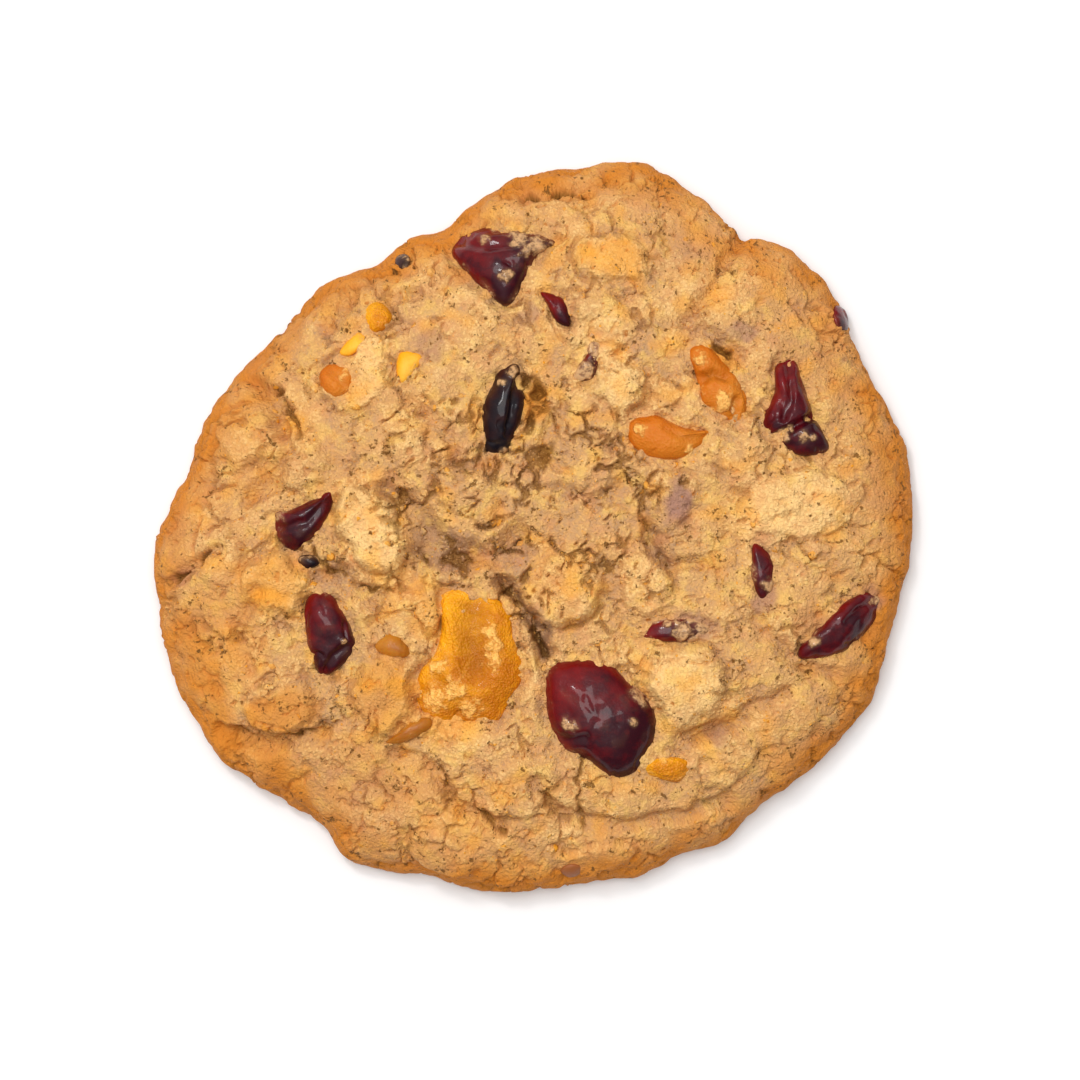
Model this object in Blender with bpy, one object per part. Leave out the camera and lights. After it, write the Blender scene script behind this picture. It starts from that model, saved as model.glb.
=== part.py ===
"""A baked oat breakfast cookie with dried cranberries, apricot, raisins and nuts.

The cookie lies flat on its baked underside, with its origin at the middle of that face.
+X runs to the right and +Y to the top, seen from above; +Z points up through the crumb.
Lengths are in millimetres until MM turns them into Blender's metres.
"""

import collections
import itertools
import math

import bmesh
import bpy
import numpy as np

MM = 0.001

# Cookie body
MEAN_RADIUS = 42.3
CROWN_HEIGHT = 11.2
RIM_HEIGHT = 2.3
RIM_TUCK = 1.5
SHOULDER_PLAN_POWER = 4.2
SHOULDER_SIDE_POWER = 2.1
OUTLINE_STARTS = 0.35
OUTLINE_ENDS = 0.95
BODY_STEPS = 49

# Rim radius in millimetres at each bearing in degrees, anticlockwise from the right
RIM_OUTLINE = (
    (0, 43.9), (9, 44.3), (22, 42.7), (30, 42.8), (38, 44.0), (49, 43.0), (54, 41.4),
    (64, 42.9), (73, 44.0), (84, 41.8), (93, 40.2), (100, 38.0), (107, 35.9), (114, 36.4),
    (120, 35.4), (132, 37.2), (142, 37.1), (156, 39.1), (172, 41.0), (183, 43.9),
    (194, 44.5), (204, 45.6), (217, 44.9), (234, 42.7), (241, 44.2), (251, 42.8),
    (267, 42.3), (279, 41.8), (288, 42.5), (296, 41.7), (301, 42.5), (306, 41.6),
    (316, 42.4), (330, 43.9), (345, 43.2),
)

# Crags of baked dough: x, y, length, width, turn in degrees, height
CRAGS = (
    (-18.6, -0.6, 11.0, 7.0, -62, 1.7),
    (-29.6, -6.6, 8.4, 7.0, 15, 1.3),
    (3.6, -6.6, 10.0, 8.6, 30, 1.6),
    (16.8, -18.6, 10.5, 9.5, 60, 1.3),
    (-16.0, -19.4, 9.0, 10.0, 20, 1.5),
    (-29.4, -20.8, 8.0, 6.4, 10, 1.4),
    (31.2, 2.6, 13.0, 8.0, 10, 0.9),
    (6.8, 23.4, 9.0, 6.4, -20, 0.9),
    (9.4, 17.2, 8.0, 6.0, -50, 0.9),
    (-33.4, 10.2, 6.4, 7.0, 0, 1.0),
    (-27.4, 7.6, 7.0, 6.6, 40, 0.9),
    (-20.4, 17.6, 9.0, 7.6, 70, 0.8),
    (9.0, 30.8, 9.0, 5.6, -10, 0.9),
    (-1.6, -30.2, 9.0, 6.0, 25, 1.0),
    (21.6, -26.8, 9.0, 6.0, 30, 0.8),
    (-10.8, -37.6, 8.4, 4.6, -20, 0.8),
    (7.4, -38.6, 8.6, 3.6, 12, 0.7),
    (24.0, 8.2, 7.0, 9.0, 20, 0.8),
    (-12.6, 9.6, 8.0, 7.0, 10, 0.7),
    (-7.6, 3.6, 7.4, 5.4, -30, 0.7),
    (15.6, 3.0, 7.0, 6.0, 60, 0.7),
    (-31.6, -14.6, 12.0, 8.0, -70, 0.6),
    (13.0, -7.0, 6.0, 7.6, 0, 0.9),
    (-36.4, -2.2, 5.0, 9.0, 5, 0.7),
)

# Cracks and hollows between the crags: width, depth, then the line that each one follows
CRACKS = (
    (2.6, 2.3, ((-16.4, 4.2), (-13.2, 0.6), (-12.4, -2.6), (-8.2, -3.8), (-4.2, -3.4), (-1.6, -1.0))),
    (1.7, 3.0, ((-3.4, -6.6), (-1.2, -8.8), (0.9, -12.4), (1.6, -15.6))),
    (2.2, 1.7, ((-26.6, -3.6), (-22.4, -6.0), (-18.0, -8.6), (-14.0, -6.2), (-12.2, -3.2))),
    (1.9, 1.7, ((-32.4, 16.8), (-30.2, 13.6), (-28.4, 8.6), (-30.6, 4.6), (-33.0, 3.2))),
    (1.5, 1.5, ((-36.0, -23.6), (-31.6, -25.2), (-26.2, -24.8), (-24.0, -23.4))),
    (1.6, 1.3, ((13.4, 3.6), (13.0, -1.4), (14.8, -4.2), (19.2, -4.6))),
    (1.6, 1.3, ((-16.2, -26.0), (-12.0, -27.8), (-9.6, -32.0), (-4.0, -35.0))),
    (1.6, 1.3, ((0.6, -29.6), (3.4, -33.2), (9.0, -35.0), (15.0, -34.0), (22.0, -31.6))),
    (1.4, 1.1, ((8.4, 20.4), (12.0, 18.0), (13.4, 14.4), (10.8, 11.6), (9.2, 9.0))),
    (1.4, 1.1, ((3.0, 4.0), (7.4, 2.4), (11.4, 5.4), (13.2, 3.0))),
    (1.3, 1.2, ((-1.2, 38.0), (2.0, 38.7), (6.4, 38.8))),
    (1.4, 1.2, ((18.8, 22.6), (21.6, 21.4), (23.6, 19.4))),
    (1.3, 1.0, ((24.0, 33.2), (21.4, 28.0), (17.6, 24.0))),
    (1.5, 1.2, ((-14.4, 14.2), (-10.4, 11.0), (-9.0, 6.4), (-6.2, 7.2))),
    (1.4, 1.1, ((25.4, -10.6), (30.4, -16.0), (34.4, -17.2))),
    (1.4, 1.1, ((18.6, -24.4), (24.6, -22.0), (29.0, -19.4))),
    (1.2, 0.9, ((-41.8, -6.4), (-38.6, -4.2), (-36.0, -3.0))),
    (1.5, 1.1, ((-31.4, -7.6), (-34.4, -11.6), (-33.0, -16.2))),
    (1.5, 1.2, ((-24.4, 22.6), (-20.4, 25.4), (-13.6, 26.6))),
    (1.3, 1.1, ((3.4, 14.2), (0.8, 9.0), (3.6, 6.6))),
)

# Crumb texture: size of its packed lumps and how high they stand
CRUMB_LUMP = 6.0
CRUMB_LUMP_HEIGHT = 1.5
CRUMB_GRAIN = 3.6
CRUMB_GRAIN_HEIGHT = 0.8
SWELL_SIZE = 15.0
SWELL_HEIGHT = 0.9
RAGGED_SIZE = 4.6
RAGGED_REACH = 0.9
SMOOTH_RIM_STARTS = 0.74
SMOOTH_RIM_SHARE = 0.38

# How strongly the relief shows on the rim's side, and the height over the rim where it is full
SIDE_RELIEF_SHARE = 0.4
SIDE_RELIEF_HEIGHT = 3.5

# Bedding of the inclusions: how deep in each one's thickness the dough meets it, how far round
# it the dough is drawn to that level, and the gap of its pocket
BED_SHARE = 0.36
BED_REACH = 1.6
POCKET_GAP = 0.3

# Slopes that the smooth noise uses: the twelve directions to the edges of a cube
SLOPES = np.array([s for s in itertools.product((-1, 0, 1), repeat=3) if np.abs(s).sum() == 2])

# One dried fruit or nut. The outline is round its centre, anticlockwise from the right.
# rise is how far its top stands above the smooth crown, and rings sets its fineness.
Inclusion = collections.namedtuple("Inclusion", "name finish centre outline thickness rise rings")

INCLUSIONS = (
    Inclusion(
        "cranberry_large", "cranberry", (7.7, -22.2),
        ((5.9, 1.6), (3.0, 4.6), (0.4, 6.7), (-3.0, 6.9), (-6.0, 6.0), (-6.5, 2.1),
         (-5.2, -2.6), (-2.0, -4.6), (1.2, -6.8), (4.0, -6.2), (6.3, -2.0)),
        7.2, 2.0, 11,
    ),
    Inclusion(
        "cranberry_upper", "cranberry", (-3.8, 30.6),
        ((4.4, 0.6), (6.3, 2.2), (2.8, 3.3), (-0.4, 3.8), (-3.6, 3.7), (-5.8, 1.2),
         (-4.2, -1.3), (-1.8, -3.6), (0.6, -5.3), (2.6, -3.0)),
        5.4, 1.1, 10,
    ),
    Inclusion(
        "raisin_dark", "raisin", (-3.4, 13.5),
        ((2.5, 0.6), (1.8, 2.8), (1.5, 5.0), (-0.4, 4.8), (-1.6, 2.6), (-2.5, 0.4),
         (-2.6, -2.6), (-2.0, -5.1), (0.0, -4.9), (1.5, -2.2)),
        5.2, 1.0, 10,
    ),
    Inclusion(
        "cranberry_left", "cranberry", (-26.3, 1.1),
        ((2.8, 0.6), (3.4, 3.2), (1.2, 2.2), (-1.6, 0.8), (-3.6, 0.2), (-3.2, -2.4),
         (-1.4, -3.9), (0.9, -2.4)),
        4.2, 0.6, 8,
    ),
    Inclusion(
        "cranberry_lower", "cranberry", (-23.6, -12.2),
        ((2.7, 0.2), (1.4, 2.9), (-0.5, 5.0), (-2.6, 3.6), (-2.7, 0.0), (-1.9, -3.1),
         (-0.8, -4.9), (1.6, -3.8), (3.0, -1.8)),
        4.8, 1.0, 10,
    ),
    Inclusion(
        "cranberry_right", "cranberry", (30.0, 13.2),
        ((2.1, -0.4), (0.8, 3.6), (-0.2, 6.1), (-2.3, 5.2), (-2.4, 2.2), (-3.9, -0.9),
         (-2.6, -3.0), (0.2, -5.0), (3.7, -4.6), (3.3, -2.4)),
        4.8, 1.1, 10,
    ),
    Inclusion(
        "cranberry_long", "cranberry", (35.1, -11.7),
        ((4.2, 0.8), (4.9, 3.0), (2.9, 4.2), (0.2, 2.7), (-2.0, 0.6), (-4.4, -1.9),
         (-4.6, -3.5), (-1.8, -3.4), (1.2, -2.4)),
        4.4, 0.9, 10,
    ),
    Inclusion(
        "cranberry_sliver", "cranberry", (26.0, -5.2),
        ((1.5, 0.2), (1.2, 1.8), (-0.8, 3.3), (-1.1, 0.8), (-0.7, -2.0), (0.2, -3.3),
         (1.2, -1.8)),
        3.0, 0.2, 7,
    ),
    Inclusion(
        "cranberry_dusted", "cranberry", (16.3, -12.1),
        ((3.9, 0.2), (2.2, 1.3), (-0.4, 1.7), (-2.8, 1.1), (-3.8, -0.5), (-1.6, -1.1),
         (1.4, -1.1)),
        2.8, 0.3, 7,
    ),
    Inclusion(
        "cranberry_curl", "cranberry", (2.6, 25.1),
        ((1.2, 0.2), (0.2, 1.3), (-1.9, 1.8), (-1.1, 0.2), (-0.1, -1.6), (1.5, -2.1)),
        2.2, 0.3, 6,
    ),
    Inclusion(
        "cranberry_skin", "cranberry", (6.4, 19.4),
        ((1.0, 0.3), (1.1, 1.9), (0.1, 2.9), (-0.5, 0.2), (-1.8, -2.4), (0.4, -2.4)),
        2.0, 0.3, 6,
    ),
    Inclusion(
        "apricot_large", "apricot", (-7.8, -16.4),
        ((6.6, -0.4), (5.4, 3.8), (4.9, 6.8), (1.2, 9.0), (-2.8, 8.8), (-2.9, 4.6),
         (-3.8, 1.6), (-5.7, -0.8), (-5.4, -4.4), (-2.9, -6.2), (0.8, -6.0), (3.4, -6.2),
         (5.2, -3.2)),
        5.0, 0.5, 11,
    ),
    Inclusion(
        "apricot_bit", "apricot", (15.5, -27.7),
        ((2.7, 0.3), (1.7, 1.0), (-0.6, 1.2), (-3.2, 0.4), (-2.2, -0.9), (0.6, -1.7),
         (1.8, -1.1)),
        2.4, 0.2, 6,
    ),
    Inclusion(
        "peach_cube", "apricot", (-18.0, 24.0),
        ((1.7, 0.0), (0.8, 1.4), (-0.4, 1.8), (-1.5, 0.9), (-1.3, -0.9), (-0.4, -1.8),
         (1.0, -1.3)),
        3.0, 0.6, 7,
    ),
    Inclusion(
        "peel_upper", "peel", (-20.8, 20.8),
        ((1.6, 0.5), (0.6, 1.5), (-0.7, 0.5), (-1.6, -0.9), (-0.5, -1.2), (0.9, -0.4)),
        1.8, 0.4, 6,
    ),
    Inclusion(
        "peel_right", "peel", (-14.7, 18.6),
        ((1.8, 0.9), (0.3, 1.7), (-0.9, 1.2), (-1.1, -1.0), (-0.4, -2.2), (1.1, -0.7)),
        2.0, 0.4, 6,
    ),
    Inclusion(
        "nut_crescent", "nut", (15.7, 10.3),
        ((4.7, 0.4), (2.6, 0.8), (0.4, 1.5), (-2.0, 2.5), (-4.6, 1.8), (-5.0, 0.0),
         (-3.4, -2.0), (-0.4, -2.7), (2.4, -1.9)),
        4.2, 1.0, 9,
    ),
    Inclusion(
        "nut_upper", "nut", (21.0, 16.1),
        ((2.3, 0.9), (0.2, 3.4), (-1.5, 4.9), (-3.4, 4.0), (-2.5, 1.2), (-1.8, -1.8),
         (0.2, -3.0), (2.4, -4.6), (3.4, -1.8)),
        3.8, 0.7, 9,
    ),
    Inclusion(
        "nut_round", "nut", (-22.7, 16.8),
        ((2.1, 0.3), (1.3, 1.5), (-0.4, 2.0), (-1.9, 1.0), (-1.8, -0.9), (-0.3, -2.1),
         (1.4, -1.3)),
        3.4, 0.7, 7,
    ),
    Inclusion(
        "golden_raisin_upper", "golden_raisin", (-16.1, -13.9),
        ((1.9, -0.6), (0.8, 1.2), (-0.9, 1.6), (-2.2, 0.2), (-1.2, -0.8), (0.8, -1.2)),
        2.6, 0.8, 6,
    ),
    Inclusion(
        "golden_raisin_lower", "golden_raisin", (-14.3, -23.4),
        ((2.3, 0.2), (2.3, 1.4), (0.4, 1.2), (-1.6, -0.4), (-2.8, -1.5), (-0.4, -1.3)),
        2.4, 0.7, 6,
    ),
    Inclusion(
        "cranberry_rim", "cranberry", (35.5, 24.0),
        ((0.9, 0.1), (0.4, 1.2), (-0.7, 1.5), (-1.1, 0.1), (-0.5, -1.2), (0.7, -1.3)),
        2.4, 0.6, 6,
    ),
    Inclusion(
        "raisin_rim", "raisin", (-15.2, 30.5),
        ((0.9, 0.2), (0.4, 0.9), (-0.6, 0.8), (-0.9, -0.1), (-0.3, -0.9), (0.6, -0.7)),
        1.8, 0.3, 6,
    ),
    Inclusion(
        "raisin_hidden", "raisin", (-25.9, -4.1),
        ((1.2, -0.2), (0.4, 0.8), (-0.9, 0.7), (-1.2, 0.0), (-0.2, -0.8)),
        1.8, 0.3, 6,
    ),
    Inclusion(
        "seed_brown", "seed", (4.3, -39.6),
        ((1.2, 0.3), (0.4, 0.8), (-0.8, 0.6), (-1.3, -0.2), (-0.4, -0.9), (0.7, -0.7)),
        1.8, 0.4, 6,
    ),
)

# Colour, roughness and sheen of each finish
FINISHES = {
    "dough": ((0.58, 0.31, 0.115, 1.0), 0.85, 0.0),
    "cranberry": ((0.13, 0.006, 0.012, 1.0), 0.28, 0.0),
    "raisin": ((0.012, 0.006, 0.010, 1.0), 0.25, 0.0),
    "apricot": ((0.74, 0.27, 0.015, 1.0), 0.45, 0.0),
    "peel": ((0.80, 0.42, 0.03, 1.0), 0.5, 0.0),
    "nut": ((0.72, 0.28, 0.03, 1.0), 0.6, 0.0),
    "golden_raisin": ((0.40, 0.13, 0.01, 1.0), 0.4, 0.0),
    "seed": ((0.30, 0.09, 0.02, 1.0), 0.6, 0.0),
}


# Noise and blending

def smooth_step(low, high, value):
    """0 below low, 1 above high, and 3t^2 - 2t^3 between them."""
    t = np.clip((value - low) / (high - low), 0, 1)
    return t * t * (3 - 2 * t)


def lattice_number(cell, seed):
    """A fixed whole number for each lattice cell, from its three coordinates."""
    x, y, z = (cell[..., axis] for axis in range(3))
    mixed = (x * 73856093) ^ (y * 19349663) ^ (z * 83492791) ^ (seed * 40503)
    mixed = (mixed ^ (mixed >> 13)) * 60493
    return (mixed ^ (mixed >> 16)) & 0x3FFFFFFF


def smooth_noise(points, seed):
    """Noise from about -1 to 1: a slope at each lattice corner, blended by 6t^5 - 15t^4 + 10t^3."""
    cell = np.floor(points).astype(np.int64)
    inside = points - cell
    blend = inside**3 * (inside * (inside * 6 - 15) + 10)
    total = np.zeros(len(points))
    for corner in itertools.product((0, 1), repeat=3):
        slope = SLOPES[lattice_number(cell + corner, seed) % len(SLOPES)]
        share = np.prod(np.where(corner, blend, 1 - blend), axis=1)
        total += share * np.sum(slope * (inside - corner), axis=1)
    return total


def packed_lumps(points, seed):
    """Round lumps packed together: 1 over a lump's middle, less the squared distance from it."""
    cell = np.floor(points).astype(np.int64)
    nearest = np.full(len(points), 9.0)
    for step in itertools.product((-1, 0, 1), repeat=3):
        number = lattice_number(cell + step, seed)
        middle = np.stack([(number >> shift & 1023) / 1023 for shift in (0, 10, 20)], axis=1)
        nearest = np.minimum(nearest, np.sum((cell + step + middle - points) ** 2, axis=1))
    return 1 - np.minimum(nearest, 1)


def ragged(points):
    """The points moved about a little, so that what is placed by them has a torn edge."""
    scaled = points / RAGGED_SIZE
    moves = [smooth_noise(scaled, seed) for seed in (11, 12, 13)]
    return points + RAGGED_REACH * np.stack(moves, axis=1)


# Smooth body of the cookie

def rim_radius(bearing):
    """Rim radius at each bearing in radians: a smooth curve through RIM_OUTLINE."""
    degrees, radii = np.array(RIM_OUTLINE, float).T
    degrees = np.concatenate([degrees[-2:] - 360, degrees, degrees[:2] + 360])
    radii = np.concatenate([radii[-2:], radii, radii[:2]])
    slopes = np.gradient(radii, degrees)
    wanted = np.degrees(bearing) % 360
    index = np.searchsorted(degrees, wanted, side="right") - 1
    span = degrees[index + 1] - degrees[index]
    t = (wanted - degrees[index]) / span
    start = (1 + 2 * t) * (1 - t) ** 2 * radii[index] + t * (1 - t) ** 2 * span * slopes[index]
    end = t * t * (3 - 2 * t) * radii[index + 1] + t * t * (t - 1) * span * slopes[index + 1]
    return start + end


def body_profile():
    """(reach, height) down the cookie's side, from the crown's middle to the edge of its underside.

    The crown and shoulder are a superellipse, and a quarter ellipse tucks the rim under.
    """
    turn = np.linspace(0, math.pi / 2, 400)
    crown_reach = np.sin(turn) ** (2 / SHOULDER_PLAN_POWER)
    crown_height = np.cos(turn) ** (2 / SHOULDER_SIDE_POWER)
    reach = MEAN_RADIUS * np.concatenate([[0], crown_reach[1:]])
    height = RIM_HEIGHT + (CROWN_HEIGHT - RIM_HEIGHT) * crown_height
    turn = np.linspace(0, math.pi / 2, 20)[1:]
    tuck_reach = MEAN_RADIUS - RIM_TUCK * (1 - np.cos(turn))
    tuck_height = RIM_HEIGHT * (1 - np.sin(turn))
    return np.concatenate([reach, tuck_reach]), np.concatenate([height, tuck_height])


def plan_radius(share, bearing):
    """Distance from the middle: round at the crown, and the outline's shape by the rim."""
    shaped = smooth_step(OUTLINE_STARTS, OUTLINE_ENDS, share)
    return share * (MEAN_RADIUS + (rim_radius(bearing) - MEAN_RADIUS) * shaped)


def body_form(u, v):
    """Points of the smooth body for a square grid from -1 to 1, as a disc bent down over the rim.

    The square's rings become circles of the same area, and the distance from the middle is
    the length walked down body_profile.
    """
    wide = np.abs(u) > np.abs(v)
    long_side = np.where(wide, u, v)
    short_side = np.where(wide, v, u)
    lean = math.pi / 4 * short_side / np.where(long_side == 0, 1, long_side)
    angle = np.where(wide, lean, math.pi / 2 - lean)
    bearing = np.arctan2(long_side * np.sin(angle), long_side * np.cos(angle))
    reach, height = body_profile()
    walked = np.concatenate([[0], np.cumsum(np.hypot(np.diff(reach), np.diff(height)))])
    wanted = np.abs(long_side) * walked[-1]
    radius = plan_radius(np.interp(wanted, walked, reach) / MEAN_RADIUS, bearing)
    z = np.interp(wanted, walked, height)
    return np.stack([radius * np.cos(bearing), radius * np.sin(bearing), z], axis=1)


def crown_share(x, y):
    """How far out a place on the top is: 0 in the middle and 1 on the rim."""
    bearing = np.arctan2(y, x)
    radius = np.hypot(x, y)
    share = radius / MEAN_RADIUS
    for _ in range(8):
        share = share * radius / np.maximum(plan_radius(share, bearing), 1e-6)
    return np.clip(share, 0, 1)


def crown_height(x, y):
    """Height of the smooth crown over a place on the top."""
    reach, height = body_profile()
    top = height >= RIM_HEIGHT
    return np.interp(crown_share(x, y) * MEAN_RADIUS, reach[top], height[top])


# Relief of the baked crumb

def closed_curve(outline, turns):
    """Points on a smooth closed curve through the outline, at each share of a turn."""
    outline = np.array(outline, float)
    count = len(outline)
    place = turns * count
    index = np.floor(place).astype(int)
    t = (place - index)[:, None]
    before, start, end, after = (outline[(index + step) % count] for step in (-1, 0, 1, 2))
    bend = (2 * before - 5 * start + 4 * end - after) * t**2
    twist = (3 * start - before - 3 * end + after) * t**3
    return start + ((end - before) * t + bend + twist) / 2


def outside_distance(item, x, y):
    """Distance outside the inclusion's outline, measured away from its centre."""
    edge = closed_curve(item.outline, np.linspace(0, 1, 97)[:-1])
    bearing = np.arctan2(edge[:, 1], edge[:, 0])
    order = np.argsort(bearing)
    away_x, away_y = x - item.centre[0], y - item.centre[1]
    reach = np.interp(
        np.arctan2(away_y, away_x), bearing[order], np.hypot(*edge.T)[order], period=2 * math.pi
    )
    return np.hypot(away_x, away_y) - reach


def crag_relief(x, y):
    """Height added by the crags: each a steep-sided oval mound."""
    total = np.zeros(len(x))
    for middle_x, middle_y, length, width, turn, height in CRAGS:
        c, s = math.cos(math.radians(turn)), math.sin(math.radians(turn))
        along = ((x - middle_x) * c + (y - middle_y) * s) / (length / 2)
        across = ((y - middle_y) * c - (x - middle_x) * s) / (width / 2)
        mound = height * smooth_step(-1.2, -0.6, -np.hypot(along, across))
        total = np.maximum(total, mound) + 0.3 * np.minimum(total, mound)
    return total


def crack_relief(x, y):
    """Depth taken away by the cracks: each a smooth valley along its line."""
    total = np.zeros(len(x))
    for width, depth, line in CRACKS:
        nearest = np.full(len(x), 1e9)
        for (ax, ay), (bx, by) in itertools.pairwise(line):
            span_x, span_y = bx - ax, by - ay
            t = ((x - ax) * span_x + (y - ay) * span_y) / (span_x**2 + span_y**2)
            t = np.clip(t, 0, 1)
            nearest = np.minimum(nearest, np.hypot(x - ax - t * span_x, y - ay - t * span_y))
        total = np.maximum(total, depth * (1 - smooth_step(0, width, nearest)))
    return total


def crumb_relief(points):
    """Lumps and grains of the crumb, broad swells under them, and a calmer band by the rim."""
    lumps = CRUMB_LUMP_HEIGHT * (packed_lumps(points / CRUMB_LUMP, 3) - 0.75)
    grains = CRUMB_GRAIN_HEIGHT * (packed_lumps(points / CRUMB_GRAIN, 5) - 0.75)
    swell = SWELL_HEIGHT * smooth_noise(points / SWELL_SIZE, 7)
    share = crown_share(points[:, 0], points[:, 1])
    calm = 1 - (1 - SMOOTH_RIM_SHARE) * smooth_step(SMOOTH_RIM_STARTS, 1, share)
    return (lumps + grains) * calm + swell


def relief(points):
    """How far the baked surface stands proud of the smooth body at these points of it."""
    torn = ragged(points)
    raised = crumb_relief(torn) + crag_relief(torn[:, 0], torn[:, 1])
    raised -= crack_relief(torn[:, 0], torn[:, 1])
    for item in INCLUSIONS:
        outside = outside_distance(item, points[:, 0], points[:, 1])
        bedded = 1 - smooth_step(0, BED_REACH, outside)
        level = item.rise - BED_SHARE * item.thickness
        raised = raised * (1 - bedded) + level * bedded
    over_rim = smooth_step(RIM_HEIGHT, RIM_HEIGHT + SIDE_RELIEF_HEIGHT, points[:, 2])
    raised *= SIDE_RELIEF_SHARE + (1 - SIDE_RELIEF_SHARE) * over_rim
    return raised * smooth_step(0, RIM_HEIGHT, points[:, 2])


# Building the objects

def finish_material(name):
    """A plain Principled BSDF with the finish's colour and roughness."""
    colour, roughness, metallic = FINISHES[name]
    material = bpy.data.materials.new(name)
    material.use_nodes = True
    shader = material.node_tree.nodes["Principled BSDF"]
    shader.inputs["Base Color"].default_value = colour
    shader.inputs["Roughness"].default_value = roughness
    shader.inputs["Metallic"].default_value = metallic
    return material


def object_from(bm, name, finish, collection):
    """A new object from the edited mesh, shaded smooth, in the collection."""
    mesh = bpy.data.meshes.new(name)
    bm.to_mesh(mesh)
    bm.free()
    mesh.shade_smooth()
    mesh.materials.append(finish)
    made = bpy.data.objects.new(name, mesh)
    collection.objects.link(made)
    return made


def place_vertices(bm, points):
    """Moves every vertex of the edited mesh to its point, given in millimetres."""
    for vertex, point in zip(bm.verts, points):
        vertex.co = point * MM


def dough_body(finish, collection):
    """The whole baked body: a grid bent over the crown and rim, raised by its relief, and
    closed by one flat face to stand on."""
    bm = bmesh.new()
    bmesh.ops.create_grid(bm, x_segments=BODY_STEPS, y_segments=BODY_STEPS, size=1)
    square = np.array([vertex.co for vertex in bm.verts])
    smooth = body_form(square[:, 0], square[:, 1])
    place_vertices(bm, smooth)
    bmesh.ops.recalc_face_normals(bm, faces=bm.faces)
    bm.normal_update()
    normals = np.array([vertex.normal for vertex in bm.verts])
    normals *= np.sign(normals[:, 2].sum())
    place_vertices(bm, smooth + normals * relief(smooth)[:, None])
    open_edge = [edge for edge in bm.edges if edge.is_boundary]
    bmesh.ops.holes_fill(bm, edges=open_edge, sides=0)
    bmesh.ops.recalc_face_normals(bm, faces=bm.faces)
    return object_from(bm, "dough", finish, collection)


def inclusion_body(item, finish, collection, swell=0.0):
    """One fruit or nut: a sphere drawn out to the outline in plan, and flattened to its
    thickness over the crown's slope. swell makes it larger all round."""
    bm = bmesh.new()
    bmesh.ops.create_uvsphere(bm, u_segments=item.rings + 4, v_segments=item.rings, radius=1)
    ball = np.array([vertex.co for vertex in bm.verts])
    turns = (np.arctan2(ball[:, 1], ball[:, 0]) / (2 * math.pi)) % 1
    edge = closed_curve(item.outline, turns)
    length = np.hypot(*edge.T)
    edge *= ((length + swell) / length)[:, None]
    level = np.clip(np.hypot(ball[:, 0], ball[:, 1]), 0, 1) ** 0.8
    plan = np.array(item.centre) + edge * level[:, None]
    half = item.thickness / 2
    middle = crown_height(plan[:, 0], plan[:, 1]) + item.rise - half
    height = middle + ball[:, 2] * (half + swell)
    place_vertices(bm, np.column_stack([plan, height]))
    bmesh.ops.recalc_face_normals(bm, faces=bm.faces)
    return object_from(bm, item.name + ("_pocket" if swell else ""), finish, collection)


def main():
    for old in list(bpy.data.objects):
        bpy.data.objects.remove(old)
    scene = bpy.context.scene.collection
    pockets = bpy.data.collections.new("pockets")
    scene.children.link(pockets)
    finishes = {name: finish_material(name) for name in FINISHES}
    body = dough_body(finishes["dough"], scene)
    for item in INCLUSIONS:
        inclusion_body(item, finishes[item.finish], scene)
        pocket = inclusion_body(item, finishes["dough"], pockets, POCKET_GAP)
        pocket.hide_render = True
        pocket.display_type = "WIRE"
    cut = body.modifiers.new("pockets", "BOOLEAN")
    cut.operation = "DIFFERENCE"
    cut.operand_type = "COLLECTION"
    cut.collection = pockets


main()
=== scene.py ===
"""A baked oat breakfast cookie with cranberries, raisins, apricot, peel and nuts, seen from above.

The dough is one closed skin raised by the same crags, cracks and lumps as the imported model, with
finer crumb on top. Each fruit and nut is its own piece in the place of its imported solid. All
shape functions work in millimetres, and MM turns them into Blender's metres.
"""

import collections
import itertools
import math

import bpy
import numpy as np
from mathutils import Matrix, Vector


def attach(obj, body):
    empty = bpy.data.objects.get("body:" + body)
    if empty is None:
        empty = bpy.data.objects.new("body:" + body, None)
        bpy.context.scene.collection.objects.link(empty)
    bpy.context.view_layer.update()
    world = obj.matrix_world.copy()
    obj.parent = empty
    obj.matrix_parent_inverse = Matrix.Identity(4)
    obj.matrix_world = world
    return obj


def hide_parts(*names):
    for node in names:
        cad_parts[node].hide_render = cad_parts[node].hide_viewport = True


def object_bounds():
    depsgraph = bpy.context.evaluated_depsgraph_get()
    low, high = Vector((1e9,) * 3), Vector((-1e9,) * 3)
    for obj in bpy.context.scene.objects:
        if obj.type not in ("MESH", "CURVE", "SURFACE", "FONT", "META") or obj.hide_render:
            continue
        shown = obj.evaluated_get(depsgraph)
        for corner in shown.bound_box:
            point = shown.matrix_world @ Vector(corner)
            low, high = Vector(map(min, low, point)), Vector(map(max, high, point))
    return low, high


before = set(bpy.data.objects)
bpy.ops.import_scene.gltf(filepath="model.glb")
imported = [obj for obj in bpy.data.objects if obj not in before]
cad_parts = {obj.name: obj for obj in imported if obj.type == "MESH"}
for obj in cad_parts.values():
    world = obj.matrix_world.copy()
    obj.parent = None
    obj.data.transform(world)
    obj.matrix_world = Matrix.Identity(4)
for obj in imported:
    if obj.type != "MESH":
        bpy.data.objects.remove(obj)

bl_info = {
    "name": "Breakfast cookie",
    "version": (1, 0, 0),
    "blender": (4, 5, 0),
    "location": "3D View > Sidebar > Cookie",
    "description": "Bakes an oat cookie with dried fruit and nuts, and lights it from above",
    "category": "Add Mesh",
}

CAD_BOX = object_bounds()
MM = 0.001
CAD_BOX_MM = np.array([tuple(corner) for corner in CAD_BOX]) / MM

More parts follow.
